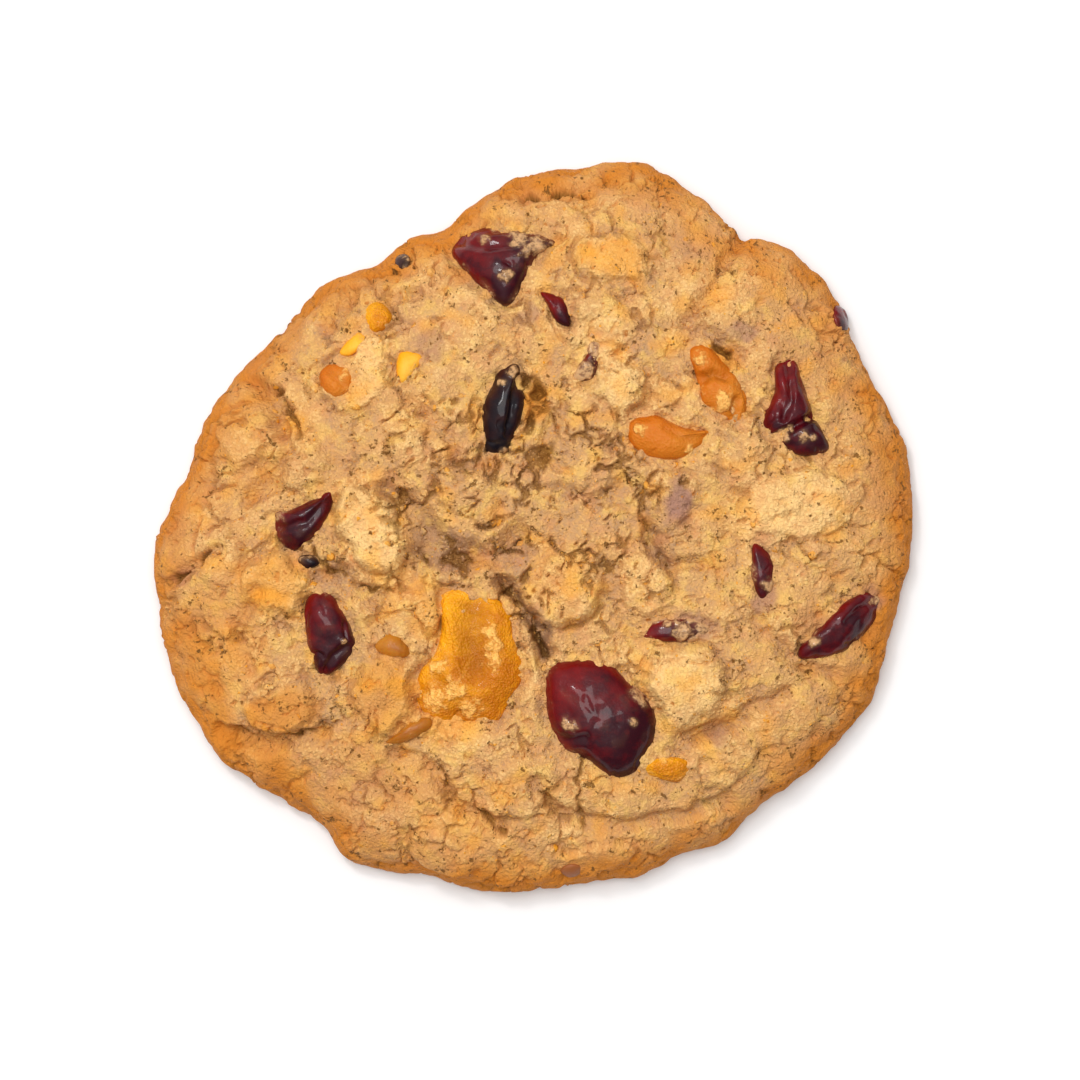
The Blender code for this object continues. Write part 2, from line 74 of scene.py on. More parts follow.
# Cookie body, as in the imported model
MEAN_RADIUS = 42.3
CROWN_HEIGHT = 11.2
RIM_HEIGHT = 2.3
RIM_TUCK = 1.5
SHOULDER_PLAN_POWER = 4.2
SHOULDER_SIDE_POWER = 2.1
OUTLINE_STARTS = 0.35
OUTLINE_ENDS = 0.95

# Rim radius in millimetres at each bearing in degrees, anticlockwise from the right
RIM_OUTLINE = (
    (0, 43.9), (9, 44.3), (22, 42.7), (30, 42.8), (38, 44.0), (49, 43.0), (54, 41.4),
    (64, 42.9), (73, 44.0), (84, 41.8), (93, 40.2), (100, 38.0), (107, 35.9), (114, 36.4),
    (120, 35.4), (132, 37.2), (142, 37.1), (156, 39.1), (172, 41.0), (183, 43.9),
    (194, 44.5), (204, 45.6), (217, 44.9), (234, 42.7), (241, 44.2), (251, 42.8),
    (267, 42.3), (279, 41.8), (288, 42.5), (296, 41.7), (301, 42.5), (306, 41.6),
    (316, 42.4), (330, 43.9), (345, 43.2),
)

# Crags of baked dough: x, y, length, width, turn in degrees, height
CRAGS = (
    (-18.6, -0.6, 11.0, 7.0, -62, 1.7),
    (-29.6, -6.6, 8.4, 7.0, 15, 1.3),
    (3.6, -6.6, 10.0, 8.6, 30, 1.6),
    (16.8, -18.6, 10.5, 9.5, 60, 1.3),
    (-16.0, -19.4, 9.0, 10.0, 20, 1.5),
    (-29.4, -20.8, 8.0, 6.4, 10, 1.4),
    (31.2, 2.6, 13.0, 8.0, 10, 0.9),
    (6.8, 23.4, 9.0, 6.4, -20, 0.9),
    (9.4, 17.2, 8.0, 6.0, -50, 0.9),
    (-33.4, 10.2, 6.4, 7.0, 0, 1.0),
    (-27.4, 7.6, 7.0, 6.6, 40, 0.9),
    (-20.4, 17.6, 9.0, 7.6, 70, 0.8),
    (9.0, 30.8, 9.0, 5.6, -10, 0.9),
    (-1.6, -30.2, 9.0, 6.0, 25, 1.0),
    (21.6, -26.8, 9.0, 6.0, 30, 0.8),
    (-10.8, -37.6, 8.4, 4.6, -20, 0.8),
    (7.4, -38.6, 8.6, 3.6, 12, 0.7),
    (24.0, 8.2, 7.0, 9.0, 20, 0.8),
    (-12.6, 9.6, 8.0, 7.0, 10, 0.7),
    (-7.6, 3.6, 7.4, 5.4, -30, 0.7),
    (15.6, 3.0, 7.0, 6.0, 60, 0.7),
    (-31.6, -14.6, 12.0, 8.0, -70, 0.6),
    (13.0, -7.0, 6.0, 7.6, 0, 0.9),
    (-36.4, -2.2, 5.0, 9.0, 5, 0.7),
)

# Cracks and hollows between the crags: width, depth, then the line that each one follows
CRACKS = (
    (2.6, 2.3, ((-16.4, 4.2), (-13.2, 0.6), (-12.4, -2.6), (-8.2, -3.8), (-4.2, -3.4), (-1.6, -1.0))),
    (1.7, 3.0, ((-3.4, -6.6), (-1.2, -8.8), (0.9, -12.4), (1.6, -15.6))),
    (2.2, 1.7, ((-26.6, -3.6), (-22.4, -6.0), (-18.0, -8.6), (-14.0, -6.2), (-12.2, -3.2))),
    (1.9, 1.7, ((-32.4, 16.8), (-30.2, 13.6), (-28.4, 8.6), (-30.6, 4.6), (-33.0, 3.2))),
    (1.5, 1.5, ((-36.0, -23.6), (-31.6, -25.2), (-26.2, -24.8), (-24.0, -23.4))),
    (1.6, 1.3, ((13.4, 3.6), (13.0, -1.4), (14.8, -4.2), (19.2, -4.6))),
    (1.6, 1.3, ((-16.2, -26.0), (-12.0, -27.8), (-9.6, -32.0), (-4.0, -35.0))),
    (1.6, 1.3, ((0.6, -29.6), (3.4, -33.2), (9.0, -35.0), (15.0, -34.0), (22.0, -31.6))),
    (1.4, 1.1, ((8.4, 20.4), (12.0, 18.0), (13.4, 14.4), (10.8, 11.6), (9.2, 9.0))),
    (1.4, 1.1, ((3.0, 4.0), (7.4, 2.4), (11.4, 5.4), (13.2, 3.0))),
    (1.3, 1.2, ((-1.2, 38.0), (2.0, 38.7), (6.4, 38.8))),
    (1.4, 1.2, ((18.8, 22.6), (21.6, 21.4), (23.6, 19.4))),
    (1.3, 1.0, ((24.0, 33.2), (21.4, 28.0), (17.6, 24.0))),
    (1.5, 1.2, ((-14.4, 14.2), (-10.4, 11.0), (-9.0, 6.4), (-6.2, 7.2))),
    (1.4, 1.1, ((25.4, -10.6), (30.4, -16.0), (34.4, -17.2))),
    (1.4, 1.1, ((18.6, -24.4), (24.6, -22.0), (29.0, -19.4))),
    (1.2, 0.9, ((-41.8, -6.4), (-38.6, -4.2), (-36.0, -3.0))),
    (1.5, 1.1, ((-31.4, -7.6), (-34.4, -11.6), (-33.0, -16.2))),
    (1.5, 1.2, ((-24.4, 22.6), (-20.4, 25.4), (-13.6, 26.6))),
    (1.3, 1.1, ((3.4, 14.2), (0.8, 9.0), (3.6, 6.6))),
)

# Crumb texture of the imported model
CRUMB_LUMP = 6.0
CRUMB_LUMP_HEIGHT = 1.5
CRUMB_GRAIN = 3.6
CRUMB_GRAIN_HEIGHT = 0.8
SWELL_SIZE = 15.0
SWELL_HEIGHT = 0.9
RAGGED_SIZE = 4.6
RAGGED_REACH = 0.9
SMOOTH_RIM_STARTS = 0.74
SMOOTH_RIM_SHARE = 0.38
SIDE_RELIEF_HEIGHT = 3.5
BED_SHARE = 0.36
BED_REACH = 1.6

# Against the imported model, the lumps stand a little lower, since finer crumb lies over them, and
# more of the relief goes on down the side
LUMP_SHARE = 0.85
SIDE_RELIEF_SHARE = 0.55

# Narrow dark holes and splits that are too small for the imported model: width, depth, line
SPLITS = (
    (0.6, 2.4, ((-3.0, -7.4), (-1.0, -9.6), (0.6, -12.6), (1.4, -14.8))),
    (0.7, 1.6, ((-14.0, -2.6), (-11.6, -3.6), (-9.0, -4.2), (-7.2, -3.8))),
    (0.7, 1.3, ((-26.2, 8.2), (-27.2, 11.4), (-29.8, 15.8))),
    (0.6, 1.2, ((-41.6, -6.0), (-39.8, -5.2), (-38.2, -3.6), (-37.4, -3.0))),
    (0.6, 1.4, ((-1.0, 38.3), (1.6, 38.6), (4.2, 38.9))),
    (0.8, 1.5, ((5.4, 38.6), (6.4, 38.9))),
    (1.1, 2.2, ((21.6, 20.2), (22.6, 19.5))),
    (1.0, 2.4, ((-0.8, 17.4), (0.3, 15.2), (0.0, 12.6), (-0.9, 11.2))),
    (0.8, 1.4, ((-5.6, 7.4), (-4.4, 6.9))),
    (0.6, 1.2, ((-34.8, -23.4), (-31.4, -24.6), (-27.4, -24.4), (-24.6, -23.2))),
    (0.6, 1.2, ((-25.2, -3.0), (-22.6, -5.4), (-18.8, -7.2), (-15.6, -7.0))),
    (0.5, 1.1, ((12.4, 3.0), (13.4, -0.6), (14.6, -3.6))),
    (0.5, 1.1, ((-16.0, -28.0), (-13.6, -30.4))),
    (0.5, 1.0, ((6.4, -24.8), (4.6, -31.0), (6.2, -35.2))),
    (0.5, 1.0, ((-11.0, -27.2), (-9.8, -31.6))),
    (0.6, 1.2, ((-3.4, -35.2), (-6.2, -33.4))),
    (0.5, 1.0, ((35.0, -5.8), (36.0, -5.2))),
    (0.5, 1.0, ((17.0, 5.6), (18.2, 4.4))),
    (0.5, 0.9, ((9.6, 12.8), (10.4, 9.4), (9.2, 6.2))),
    (0.5, 0.9, ((-12.8, 14.6), (-12.0, 11.2), (-12.6, 8.0))),
    (0.5, 0.9, ((-30.4, 22.4), (-28.0, 23.6))),
    (0.5, 1.0, ((29.4, 26.0), (31.0, 23.6))),
)

# Oat flakes pressed into the dough: x, y, length, width, turn in degrees, height
FLAKES = (
    (-19.4, 17.9, 8.2, 4.4, 78, 0.5),
    (-21.2, 16.6, 6.4, 4.6, 95, 0.3),
    (32.4, 1.0, 8.4, 5.0, 18, 0.4),
    (27.6, 3.6, 6.2, 4.4, -30, 0.3),
    (-10.9, -38.2, 7.6, 3.4, -18, 0.4),
    (7.2, -38.8, 7.4, 2.8, 10, 0.4),
    (10.6, 16.2, 5.6, 3.8, 60, 0.4),
    (6.6, 21.6, 6.4, 3.8, -40, 0.35),
    (-15.6, -28.2, 6.4, 4.0, 25, 0.35),
    (17.4, -19.8, 6.0, 4.2, 50, 0.35),
    (-34.0, 9.4, 5.6, 3.8, 30, 0.3),
    (23.4, 27.4, 6.4, 4.0, -20, 0.3),
    (-13.8, 5.4, 5.4, 3.4, 10, 0.35),
    (22.6, -27.4, 6.4, 3.6, 35, 0.3),
    (-8.2, 22.6, 5.8, 3.8, -60, 0.3),
    (30.6, -22.6, 6.2, 3.8, 60, 0.3),
    (6.0, 5.8, 5.2, 3.4, 120, 0.3),
    (-34.8, -16.2, 6.4, 4.0, 70, 0.3),
)

# Small uneven lobes round the rim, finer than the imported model's outline
RIM_LOBE_HEIGHT = 0.4

# Loose crumb grains: radius in millimetres from smallest to largest, with few large ones where
# rarity is high, and how many lie on the tops against how many lie in the hollows
CrumbKind = collections.namedtuple(
    "CrumbKind", "name seed count radius rarity sunk flatness on_top in_hollows paler")
CRUMB_KINDS = (
    CrumbKind("crumb_lumps", 2, 7500, (0.16, 0.6), 1.8, 0.62, 0.75, 0.9, 0.7, 0.04),
    CrumbKind("crumb_grains", 1, 9900, (0.09, 0.22), 1.4, 0.4, 0.9, 1.0, 1.0, 0.03),
    CrumbKind("bran_flecks", 3, 450, (0.14, 0.36), 1.8, 0.3, 0.45, 1.0, 0.6, -0.35),
)

# Crevices between clumps of crumb: clump size, half width as a share of it, depth, seed
CREVICES = ((3.8, 0.11, 1.2, 31), (2.1, 0.18, 0.85, 34))

# The fine crumb is deepest round the middle and calmer outside it: middle x, y, then the reach
# of the middle and where it is calm (mm), and the share of its depth that is left there
CRAGGY_MIDDLE = (-1.0, 3.0, 10.0, 20.0, 0.54)

# The crust is finer than the rest of the skin and covers it this far out, as a share of the way
# to the rim. Over the last part of that way it dips under the skin, and its pieces' undersides
# are inside the dough
CRUST_ENDS = 0.9
CRUST_DIPS = 0.86
CRUST_DIP = 0.25
CRUST_UNDERSIDE = 1.5

# The underside is flat apart from low bumps inside this radius
BASE_RADIUS = 40
BASE_BUMP_HEIGHT = 0.05

# Tints over the top: x, y, length, width, turn, then how much paler, more toasted, more orange
# and more purple the dough is there
TINTS = (
    (-18.6, -0.4, 12.0, 9.0, -62, 0.42, 0.0, 0.05, 0.0),
    (-21.0, 3.6, 7.0, 6.0, 0, 0.20, 0.0, 0.10, 0.0),
    (-16.0, -6.6, 5.0, 6.0, 0, 0.20, 0.0, 0.25, 0.0),
    (-30.1, -6.6, 9.0, 7.4, 10, 0.05, 0.12, 0.38, 0.0),
    (3.2, -6.0, 9.6, 8.6, 30, 0.12, 0.08, 0.16, 0.0),
    (31.0, 2.0, 15.0, 9.0, 10, 0.32, 0.0, 0.0, 0.0),
    (24.0, 1.4, 8.0, 9.0, 0, 0.18, 0.0, 0.10, 0.0),
    (16.4, -19.0, 11.0, 10.0, 60, 0.30, 0.0, 0.06, 0.0),
    (9.6, 16.8, 10.0, 8.0, -50, 0.30, 0.0, 0.0, 0.0),
    (6.6, 21.8, 9.0, 8.0, 0, 0.22, 0.0, 0.0, 0.0),
    (-19.4, 18.0, 9.0, 6.0, 78, 0.30, 0.0, 0.12, 0.0),
    (8.8, 30.7, 9.0, 5.4, -5, 0.08, 0.0, 0.50, 0.0),
    (-17.0, -19.6, 8.6, 10.4, 20, 0.0, 0.22, 0.42, 0.05),
    (-28.9, -21.4, 8.6, 6.0, 10, -0.12, 0.45, 0.45, 0.10),
    (-36.0, -13.0, 15.0, 12.0, 80, 0.0, 0.18, 0.15, 0.0),
    (-30.0, 10.0, 12.0, 12.0, 0, 0.06, 0.05, 0.12, 0.0),
    (-9.4, -22.8, 8.0, 6.0, 0, 0.10, 0.0, 0.45, 0.0),
    (-12.4, -10.0, 5.0, 6.0, 0, 0.0, 0.10, 0.40, 0.0),
    (-10.0, -2.6, 10.0, 5.0, -25, -0.40, 0.0, 0.0, 0.10),
    (-2.4, -4.0, 6.0, 4.0, 30, -0.28, 0.0, 0.0, 0.05),
    (0.4, -12.0, 4.0, 8.0, 20, -0.30, 0.0, 0.0, 0.08),
    (-24.0, -5.6, 7.0, 4.0, -30, -0.30, 0.0, 0.0, 0.15),
    (1.0, 3.4, 13.0, 9.0, 0, -0.10, 0.0, 0.0, 0.0),
    (14.6, -1.6, 5.0, 8.0, 10, -0.20, 0.0, 0.0, 0.08),
    (16.2, 2.9, 3.6, 5.6, -15, -0.22, 0.0, 0.0, 0.75),
    (15.0, -1.4, 2.4, 1.8, 0, 0.0, 0.2, 0.4, 0.35),
    (24.4, 22.2, 4.0, 2.6, 10, -0.05, 0.0, 0.0, 0.55),
    (28.4, 20.0, 6.0, 8.0, 0, 0.0, 0.12, 0.0, 0.10),
    (-1.0, 24.4, 3.0, 2.6, 0, -0.1, 0.0, 0.0, 0.40),
    (-12.1, 20.6, 3.4, 4.0, 0, -0.05, 0.0, 0.1, 0.40),
    (20.9, -24.2, 3.0, 1.8, 0, 0.0, 0.0, 0.0, 0.40),
    (-41.0, -5.8, 3.4, 2.2, 30, 0.0, 0.1, 0.2, 0.40),
    (31.4, -11.0, 4.0, 5.0, 0, -0.1, 0.1, 0.2, 0.25),
    (18.4, -11.6, 8.0, 3.6, 0, -0.1, 0.0, 0.0, 0.45),
    (26.6, -8.2, 2.2, 4.2, 0, 0.0, 0.0, 0.1, 0.55),
    (38.6, -8.4, 3.4, 3.0, 0, -0.1, 0.0, 0.0, 0.45),
    (-12.0, -30.8, 26.0, 7.0, -30, 0.0, 0.12, 0.16, 0.0),
    (-3.0, 3.0, 28.0, 24.0, 20, -0.09, 0.0, -0.05, 0.0),
    (-38.0, -18.0, 5.0, 22.0, 20, -0.05, 0.3, 0.2, 0.0),
    (-30.0, -28.0, 12.0, 6.0, -45, 0.0, 0.25, 0.25, 0.0),
    (38.0, -22.0, 6.0, 14.0, -20, 0.0, 0.2, 0.15, 0.0),
    (26.6, -3.0, 4.0, 6.0, 0, -0.05, 0.0, 0.0, 0.15),
    (-8.4, 29.2, 3.4, 2.6, 0, -0.2, 0.35, 0.55, 0.2),
    (0.1, 14.6, 2.8, 6.4, 0, -0.35, 0.45, 0.75, 0.1),
    (-5.0, 7.1, 3.0, 2.4, 0, -0.35, 0.2, 0.3, 0.1),
    (22.0, 19.8, 4.2, 3.0, -25, -0.35, 0.3, 0.5, 0.0),
    (12.0, 19.0, 3.0, 9.0, -15, -0.20, 0.0, 0.0, 0.0),
    (30.2, -15.6, 9.0, 3.0, -40, -0.12, 0.1, 0.0, 0.0),
    (-14.0, 12.6, 7.0, 6.0, 0, 0.06, 0.10, 0.0, 0.0),
    (-4.6, -30.0, 12.0, 7.0, 0, -0.05, 0.0, 0.0, 0.0),
    (-19.0, -31.0, 14.0, 8.0, -30, 0.0, 0.12, 0.0, 0.10),
    (27.0, 30.0, 12.0, 7.0, -40, 0.05, 0.08, 0.0, 0.0),
    (16.0, 32.0, 10.0, 7.0, -30, -0.04, 0.10, 0.0, 0.10),
)

# Corners round a fruit in the visual model, for each millimetre of its size
FRUIT_CORNERS_PER_MM = 12
FEWEST_FRUIT_CORNERS = 36
MOST_FRUIT_CORNERS = 132

# Floor, lights and sky round the cookie, in metres
FLOOR_HALF_WIDTH = 1.5
OVERHEAD_SIZE = 0.5
OVERHEAD_PLACE = (-0.08, 0.14, 1.0)
SIDE_LIGHT_SIZE = 0.13
SIDE_LIGHT_PLACE = (-0.24, 0.36, 0.82)
BRIGHTEST_SKY = (-0.22, 0.28, 0.93)
SENSOR_WIDTH_MM = 36.0

# Slopes that the smooth noise uses: the twelve directions to the edges of a cube
SLOPES = np.array([s for s in itertools.product((-1, 0, 1), repeat=3) if np.abs(s).sum() == 2])

# One dried fruit or nut. The outline is round its centre, anticlockwise from the right.
# rise is how far its top stands above the smooth crown. run is the direction of its wrinkles
# in degrees and wrinkle their depth. grooves are width, depth and line, round its centre, and
# smears of dough on it are x, y and radius. dust is how much flour clings to its edge.
Inclusion = collections.namedtuple(
    "Inclusion", "name finish centre outline thickness rise run wrinkle dust grooves smears"
)

INCLUSIONS = (
    Inclusion(
        "cranberry_large", "cranberry", (7.7, -22.2),
        ((5.9, 1.6), (3.0, 4.6), (0.4, 6.7), (-3.0, 6.9), (-6.0, 6.0), (-6.5, 2.1),
         (-5.2, -2.6), (-2.0, -4.6), (1.2, -6.8), (4.0, -6.2), (6.3, -2.0)),
        7.2, 2.0, -50, 0.16, 0.25,
        ((1.1, 0.5, ((-5.6, -2.0), (-3.8, -2.4), (-2.0, -2.0))),),
        ((-4.2, -0.3, 0.7), (-3.3, -0.7, 0.8), (4.6, 3.2, 1.6), (3.6, -0.2, 0.5)),
    ),
    Inclusion(
        "cranberry_upper", "cranberry", (-3.8, 30.6),
        ((4.4, 0.6), (6.3, 2.2), (2.8, 3.3), (-0.4, 3.8), (-3.6, 3.7), (-5.8, 1.2),
         (-4.2, -1.3), (-1.8, -3.6), (0.6, -5.3), (2.6, -3.0)),
        5.4, 1.1, 30, 0.3, 0.55,
        ((1.1, 0.5, ((-5.0, 2.2), (-1.4, 1.6), (1.8, 2.2))),),
        ((4.0, 1.6, 1.8), (2.0, 2.4, 1.2), (0.6, -1.8, 0.8), (-2.0, 2.6, 0.7)),
    ),
    Inclusion(
        "raisin_dark", "raisin", (-3.4, 13.5),
        ((2.5, 0.6), (1.8, 2.8), (1.5, 5.0), (-0.4, 4.8), (-1.6, 2.6), (-2.5, 0.4),
         (-2.6, -2.6), (-2.0, -5.1), (0.0, -4.9), (1.5, -2.2)),
        5.2, 1.0, 86, 0.2, 0.2,
        ((0.8, 0.5, ((1.6, 3.4), (0.9, 0.6), (0.4, -3.0))),),
        ((0.9, 4.2, 0.8), (-0.3, 3.0, 0.5), (0.2, -5.0, 0.7)),
    ),
    Inclusion(
        "cranberry_left", "cranberry", (-26.3, 1.1),
        ((2.8, 0.6), (3.4, 3.2), (1.2, 2.2), (-1.6, 0.8), (-3.6, 0.2), (-3.2, -2.4),
         (-1.4, -3.9), (0.9, -2.4)),
        4.2, 0.6, 35, 0.35, 0.3,
        ((0.9, 0.35, ((-2.8, -1.4), (0.4, -0.6), (2.6, 2.0))),),
        ((-3.0, 0.0, 0.7),),
    ),
    Inclusion(
        "cranberry_lower", "cranberry", (-23.6, -12.2),
        ((2.7, 0.2), (1.4, 2.9), (-0.5, 5.0), (-2.6, 3.6), (-2.7, 0.0), (-1.9, -3.1),
         (-0.8, -4.9), (1.6, -3.8), (3.0, -1.8)),
        4.8, 1.0, 62, 0.4, 0.3,
        ((0.8, 0.35, ((-0.4, -4.2), (0.6, -2.8), (2.2, -1.6))),),
        ((1.9, -1.0, 0.5),),
    ),
    Inclusion(
        "cranberry_right", "cranberry", (30.0, 13.2),
        ((2.1, -0.4), (0.8, 3.6), (-0.2, 6.1), (-2.3, 5.2), (-2.4, 2.2), (-3.9, -0.9),
         (-2.6, -3.0), (0.2, -5.0), (3.7, -4.6), (3.3, -2.4)),
        4.8, 1.1, 100, 0.3, 0.3,
        ((0.9, 0.9, ((-2.4, -3.2), (-0.4, -1.9), (1.9, -0.6))),
         (0.8, 0.35, ((-0.9, 5.4), (-0.6, 2.4), (-1.4, -0.8)))),
        ((-1.6, -2.8, 0.8), (0.8, -2.9, 0.7), (2.0, -3.0, 0.4), (-0.7, -2.0, 0.5)),
    ),
    Inclusion(
        "cranberry_long", "cranberry", (35.1, -11.7),
        ((4.2, 0.8), (4.9, 3.0), (2.9, 4.2), (0.2, 2.7), (-2.0, 0.6), (-4.4, -1.9),
         (-4.6, -3.5), (-1.8, -3.4), (1.2, -2.4)),
        4.4, 0.9, 42, 0.35, 0.35,
        ((0.8, 0.4, ((0.8, 0.8), (2.2, 2.0), (3.8, 3.0))),),
        ((-3.0, -1.6, 0.8), (4.2, 3.2, 0.6)),
    ),
    Inclusion(
        "cranberry_sliver", "cranberry", (26.0, -5.2),
        ((1.5, 0.2), (1.2, 1.8), (-0.8, 3.3), (-1.1, 0.8), (-0.7, -2.0), (0.2, -3.3),
         (1.2, -1.8)),
        3.0, 0.2, 80, 0.2, 0.6, (), ((0.8, -1.6, 0.8),),
    ),
    Inclusion(
        "cranberry_dusted", "cranberry", (16.3, -12.1),
        ((3.9, 0.2), (2.2, 1.3), (-0.4, 1.7), (-2.8, 1.1), (-3.8, -0.5), (-1.6, -1.1),
         (1.4, -1.1)),
        2.8, 0.3, 5, 0.2, 1.2, (), ((0.8, 0.2, 1.5), (3.0, 0.4, 1.4), (-1.0, 1.0, 0.7)),
    ),
    Inclusion(
        "cranberry_curl", "cranberry", (2.6, 25.1),
        ((1.2, 0.2), (0.2, 1.3), (-1.9, 1.8), (-1.1, 0.2), (-0.1, -1.6), (1.5, -2.1)),
        2.2, 0.3, -50, 0.2, 0.5, (), (),
    ),
    Inclusion(
        "cranberry_skin", "cranberry", (6.4, 19.4),
        ((1.0, 0.3), (1.1, 1.9), (0.1, 2.9), (-0.5, 0.2), (-1.8, -2.4), (0.4, -2.4)),
        2.0, 0.3, 70, 0.15, 1.6, (), ((-0.6, -1.6, 1.4), (0.6, 1.0, 1.2)),
    ),
    Inclusion(
        "apricot_large", "apricot", (-7.8, -16.4),
        ((6.6, -0.4), (5.4, 3.8), (4.9, 6.8), (1.2, 9.0), (-2.8, 8.8), (-2.9, 4.6),
         (-3.8, 1.6), (-5.7, -0.8), (-5.4, -4.4), (-2.9, -6.2), (0.8, -6.0), (3.4, -6.2),
         (5.2, -3.2)),
        5.0, 0.5, 80, 0.3, 0.5,
        ((3.2, 0.8, ((0.4, 6.8), (0.6, 3.0), (1.0, 0.6))),
         (1.2, 0.4, ((-3.8, -1.0), (-1.6, -3.0), (-1.0, -5.0)))),
        ((2.8, 4.4, 0.9), (3.2, 1.0, 1.2), (-1.6, -2.4, 1.8), (-3.6, -3.4, 1.8), (-3.6, 0.4, 1.2),
         (0.4, -4.4, 1.5), (3.2, 2.8, 1.0)),
    ),
    Inclusion(
        "apricot_bit", "apricot", (15.5, -27.7),
        ((2.7, 0.3), (1.7, 1.0), (-0.6, 1.2), (-3.2, 0.4), (-2.2, -0.9), (0.6, -1.7),
         (1.8, -1.1)),
        2.4, 0.2, 10, 0.15, 0.5, (), ((-0.6, 0.8, 0.6),),
    ),
    Inclusion(
        "peach_cube", "apricot", (-18.0, 24.0),
        ((1.7, 0.0), (0.8, 1.4), (-0.4, 1.8), (-1.5, 0.9), (-1.3, -0.9), (-0.4, -1.8),
         (1.0, -1.3)),
        3.0, 0.6, 60, 0.12, 0.3, (), (),
    ),
    Inclusion(
        "peel_upper", "peel", (-20.8, 20.8),
        ((1.6, 0.5), (0.6, 1.5), (-0.7, 0.5), (-1.6, -0.9), (-0.5, -1.2), (0.9, -0.4)),
        1.8, 0.4, 40, 0.1, 0.5, (), (),
    ),
    Inclusion(
        "peel_right", "peel", (-14.7, 18.6),
        ((1.8, 0.9), (0.3, 1.7), (-0.9, 1.2), (-1.1, -1.0), (-0.4, -2.2), (1.1, -0.7)),
        2.0, 0.4, 60, 0.1, 0.5, (), (),
    ),
    Inclusion(
        "nut_crescent", "nut", (15.7, 10.3),
        ((4.7, 0.4), (2.6, 0.8), (0.4, 1.5), (-2.0, 2.5), (-4.6, 1.8), (-5.0, 0.0),
         (-3.4, -2.0), (-0.4, -2.7), (2.4, -1.9)),
        4.2, 1.0, -10, 0.2, 0.4, ((0.9, 0.35, ((-0.6, 1.0), (1.6, -0.2), (4.0, -0.1))),),
        ((-3.6, 0.8, 0.9), (2.0, -1.4, 0.6)),
    ),
    Inclusion(
        "nut_upper", "nut", (21.0, 16.1),
        ((2.3, 0.9), (0.2, 3.4), (-1.5, 4.9), (-3.4, 4.0), (-2.5, 1.2), (-1.8, -1.8),
         (0.2, -3.0), (2.4, -4.6), (3.4, -1.8)),
        3.8, 0.7, -55, 0.3, 0.45,
        ((1.0, 0.8, ((-1.8, 0.8), (-0.4, 1.4), (1.0, 1.0))),
         (0.8, 0.7, ((2.2, -1.6), (1.8, -3.6)))),
        ((0.8, -1.4, 1.2), (-2.0, 3.0, 0.9), (0.4, -2.6, 1.0)),
    ),
    Inclusion(
        "nut_round", "nut", (-22.7, 16.8),
        ((2.1, 0.3), (1.3, 1.5), (-0.4, 2.0), (-1.9, 1.0), (-1.8, -0.9), (-0.3, -2.1),
         (1.4, -1.3)),
        3.4, 0.7, 20, 0.12, 0.4, ((0.7, 0.3, ((-1.0, 1.0), (0.8, -0.6))),), ((1.0, 0.6, 0.7),),
    ),
    Inclusion(
        "golden_raisin_upper", "golden_raisin", (-16.1, -13.9),
        ((1.9, -0.6), (0.8, 1.2), (-0.9, 1.6), (-2.2, 0.2), (-1.2, -0.8), (0.8, -1.2)),
        2.6, 0.8, 20, 0.2, 0.3, (), (),
    ),
    Inclusion(
        "golden_raisin_lower", "golden_raisin", (-14.3, -23.4),
        ((2.3, 0.2), (2.3, 1.4), (0.4, 1.2), (-1.6, -0.4), (-2.8, -1.5), (-0.4, -1.3)),
        2.4, 0.7, 25, 0.2, 0.3, (), (),
    ),
    Inclusion(
        "cranberry_rim", "cranberry", (35.5, 24.0),
        ((0.9, 0.1), (0.4, 1.2), (-0.7, 1.5), (-1.1, 0.1), (-0.5, -1.2), (0.7, -1.3)),
        2.4, 0.6, 90, 0.15, 0.2, (), (),
    ),
    Inclusion(
        "raisin_rim", "raisin", (-15.2, 30.5),
        ((0.9, 0.2), (0.4, 0.9), (-0.6, 0.8), (-0.9, -0.1), (-0.3, -0.9), (0.6, -0.7)),
        1.8, 0.3, 20, 0.1, 0.5, (), (),
    ),
    Inclusion(
        "raisin_hidden", "raisin", (-25.9, -4.1),
        ((1.2, -0.2), (0.4, 0.8), (-0.9, 0.7), (-1.2, 0.0), (-0.2, -0.8)),
        1.8, 0.3, 0, 0.1, 0.7, (), (),
    ),
    Inclusion(
        "seed_brown", "seed", (4.3, -39.6),
        ((1.2, 0.3), (0.4, 0.8), (-0.8, 0.6), (-1.3, -0.2), (-0.4, -0.9), (0.7, -0.7)),
        1.8, 0.4, 10, 0.1, 0.5, (), (),
    ),
)


# Noise and blending

def smooth_step(low, high, value):
    """0 below low, 1 above high, and 3t^2 - 2t^3 between them."""
    t = np.clip((value - low) / (high - low), 0, 1)
    return t * t * (3 - 2 * t)


def lattice_number(x, y, z, seed):
    """A fixed whole number for each lattice cell, from its three coordinates."""
    mixed = (x * 73856093) ^ (y * 19349663) ^ (z * 83492791) ^ (seed * 40503)
    mixed = (mixed ^ (mixed >> 13)) * 60493
    return (mixed ^ (mixed >> 16)) & 0x3FFFFFFF


def smooth_noise(points, seed):
    """Noise from about -1 to 1: a slope at each lattice corner, blended by 6t^5 - 15t^4 + 10t^3."""
    inside = np.array(points.T, order="C")
    cell = np.floor(inside)
    inside -= cell
    cell = cell.astype(np.int64)
    blend = inside**3 * (inside * (inside * 6 - 15) + 10)
    total = np.zeros(len(points))
    for corner in itertools.product((0, 1), repeat=3):
        x, y, z = (cell[axis] + corner[axis] for axis in range(3))
        kind = lattice_number(x, y, z, seed) % len(SLOPES)
        rise = sum(SLOPES[kind, axis] * (inside[axis] - corner[axis]) for axis in range(3))
        for axis in range(3):
            rise *= blend[axis] if corner[axis] else 1 - blend[axis]
        total += rise
    return total


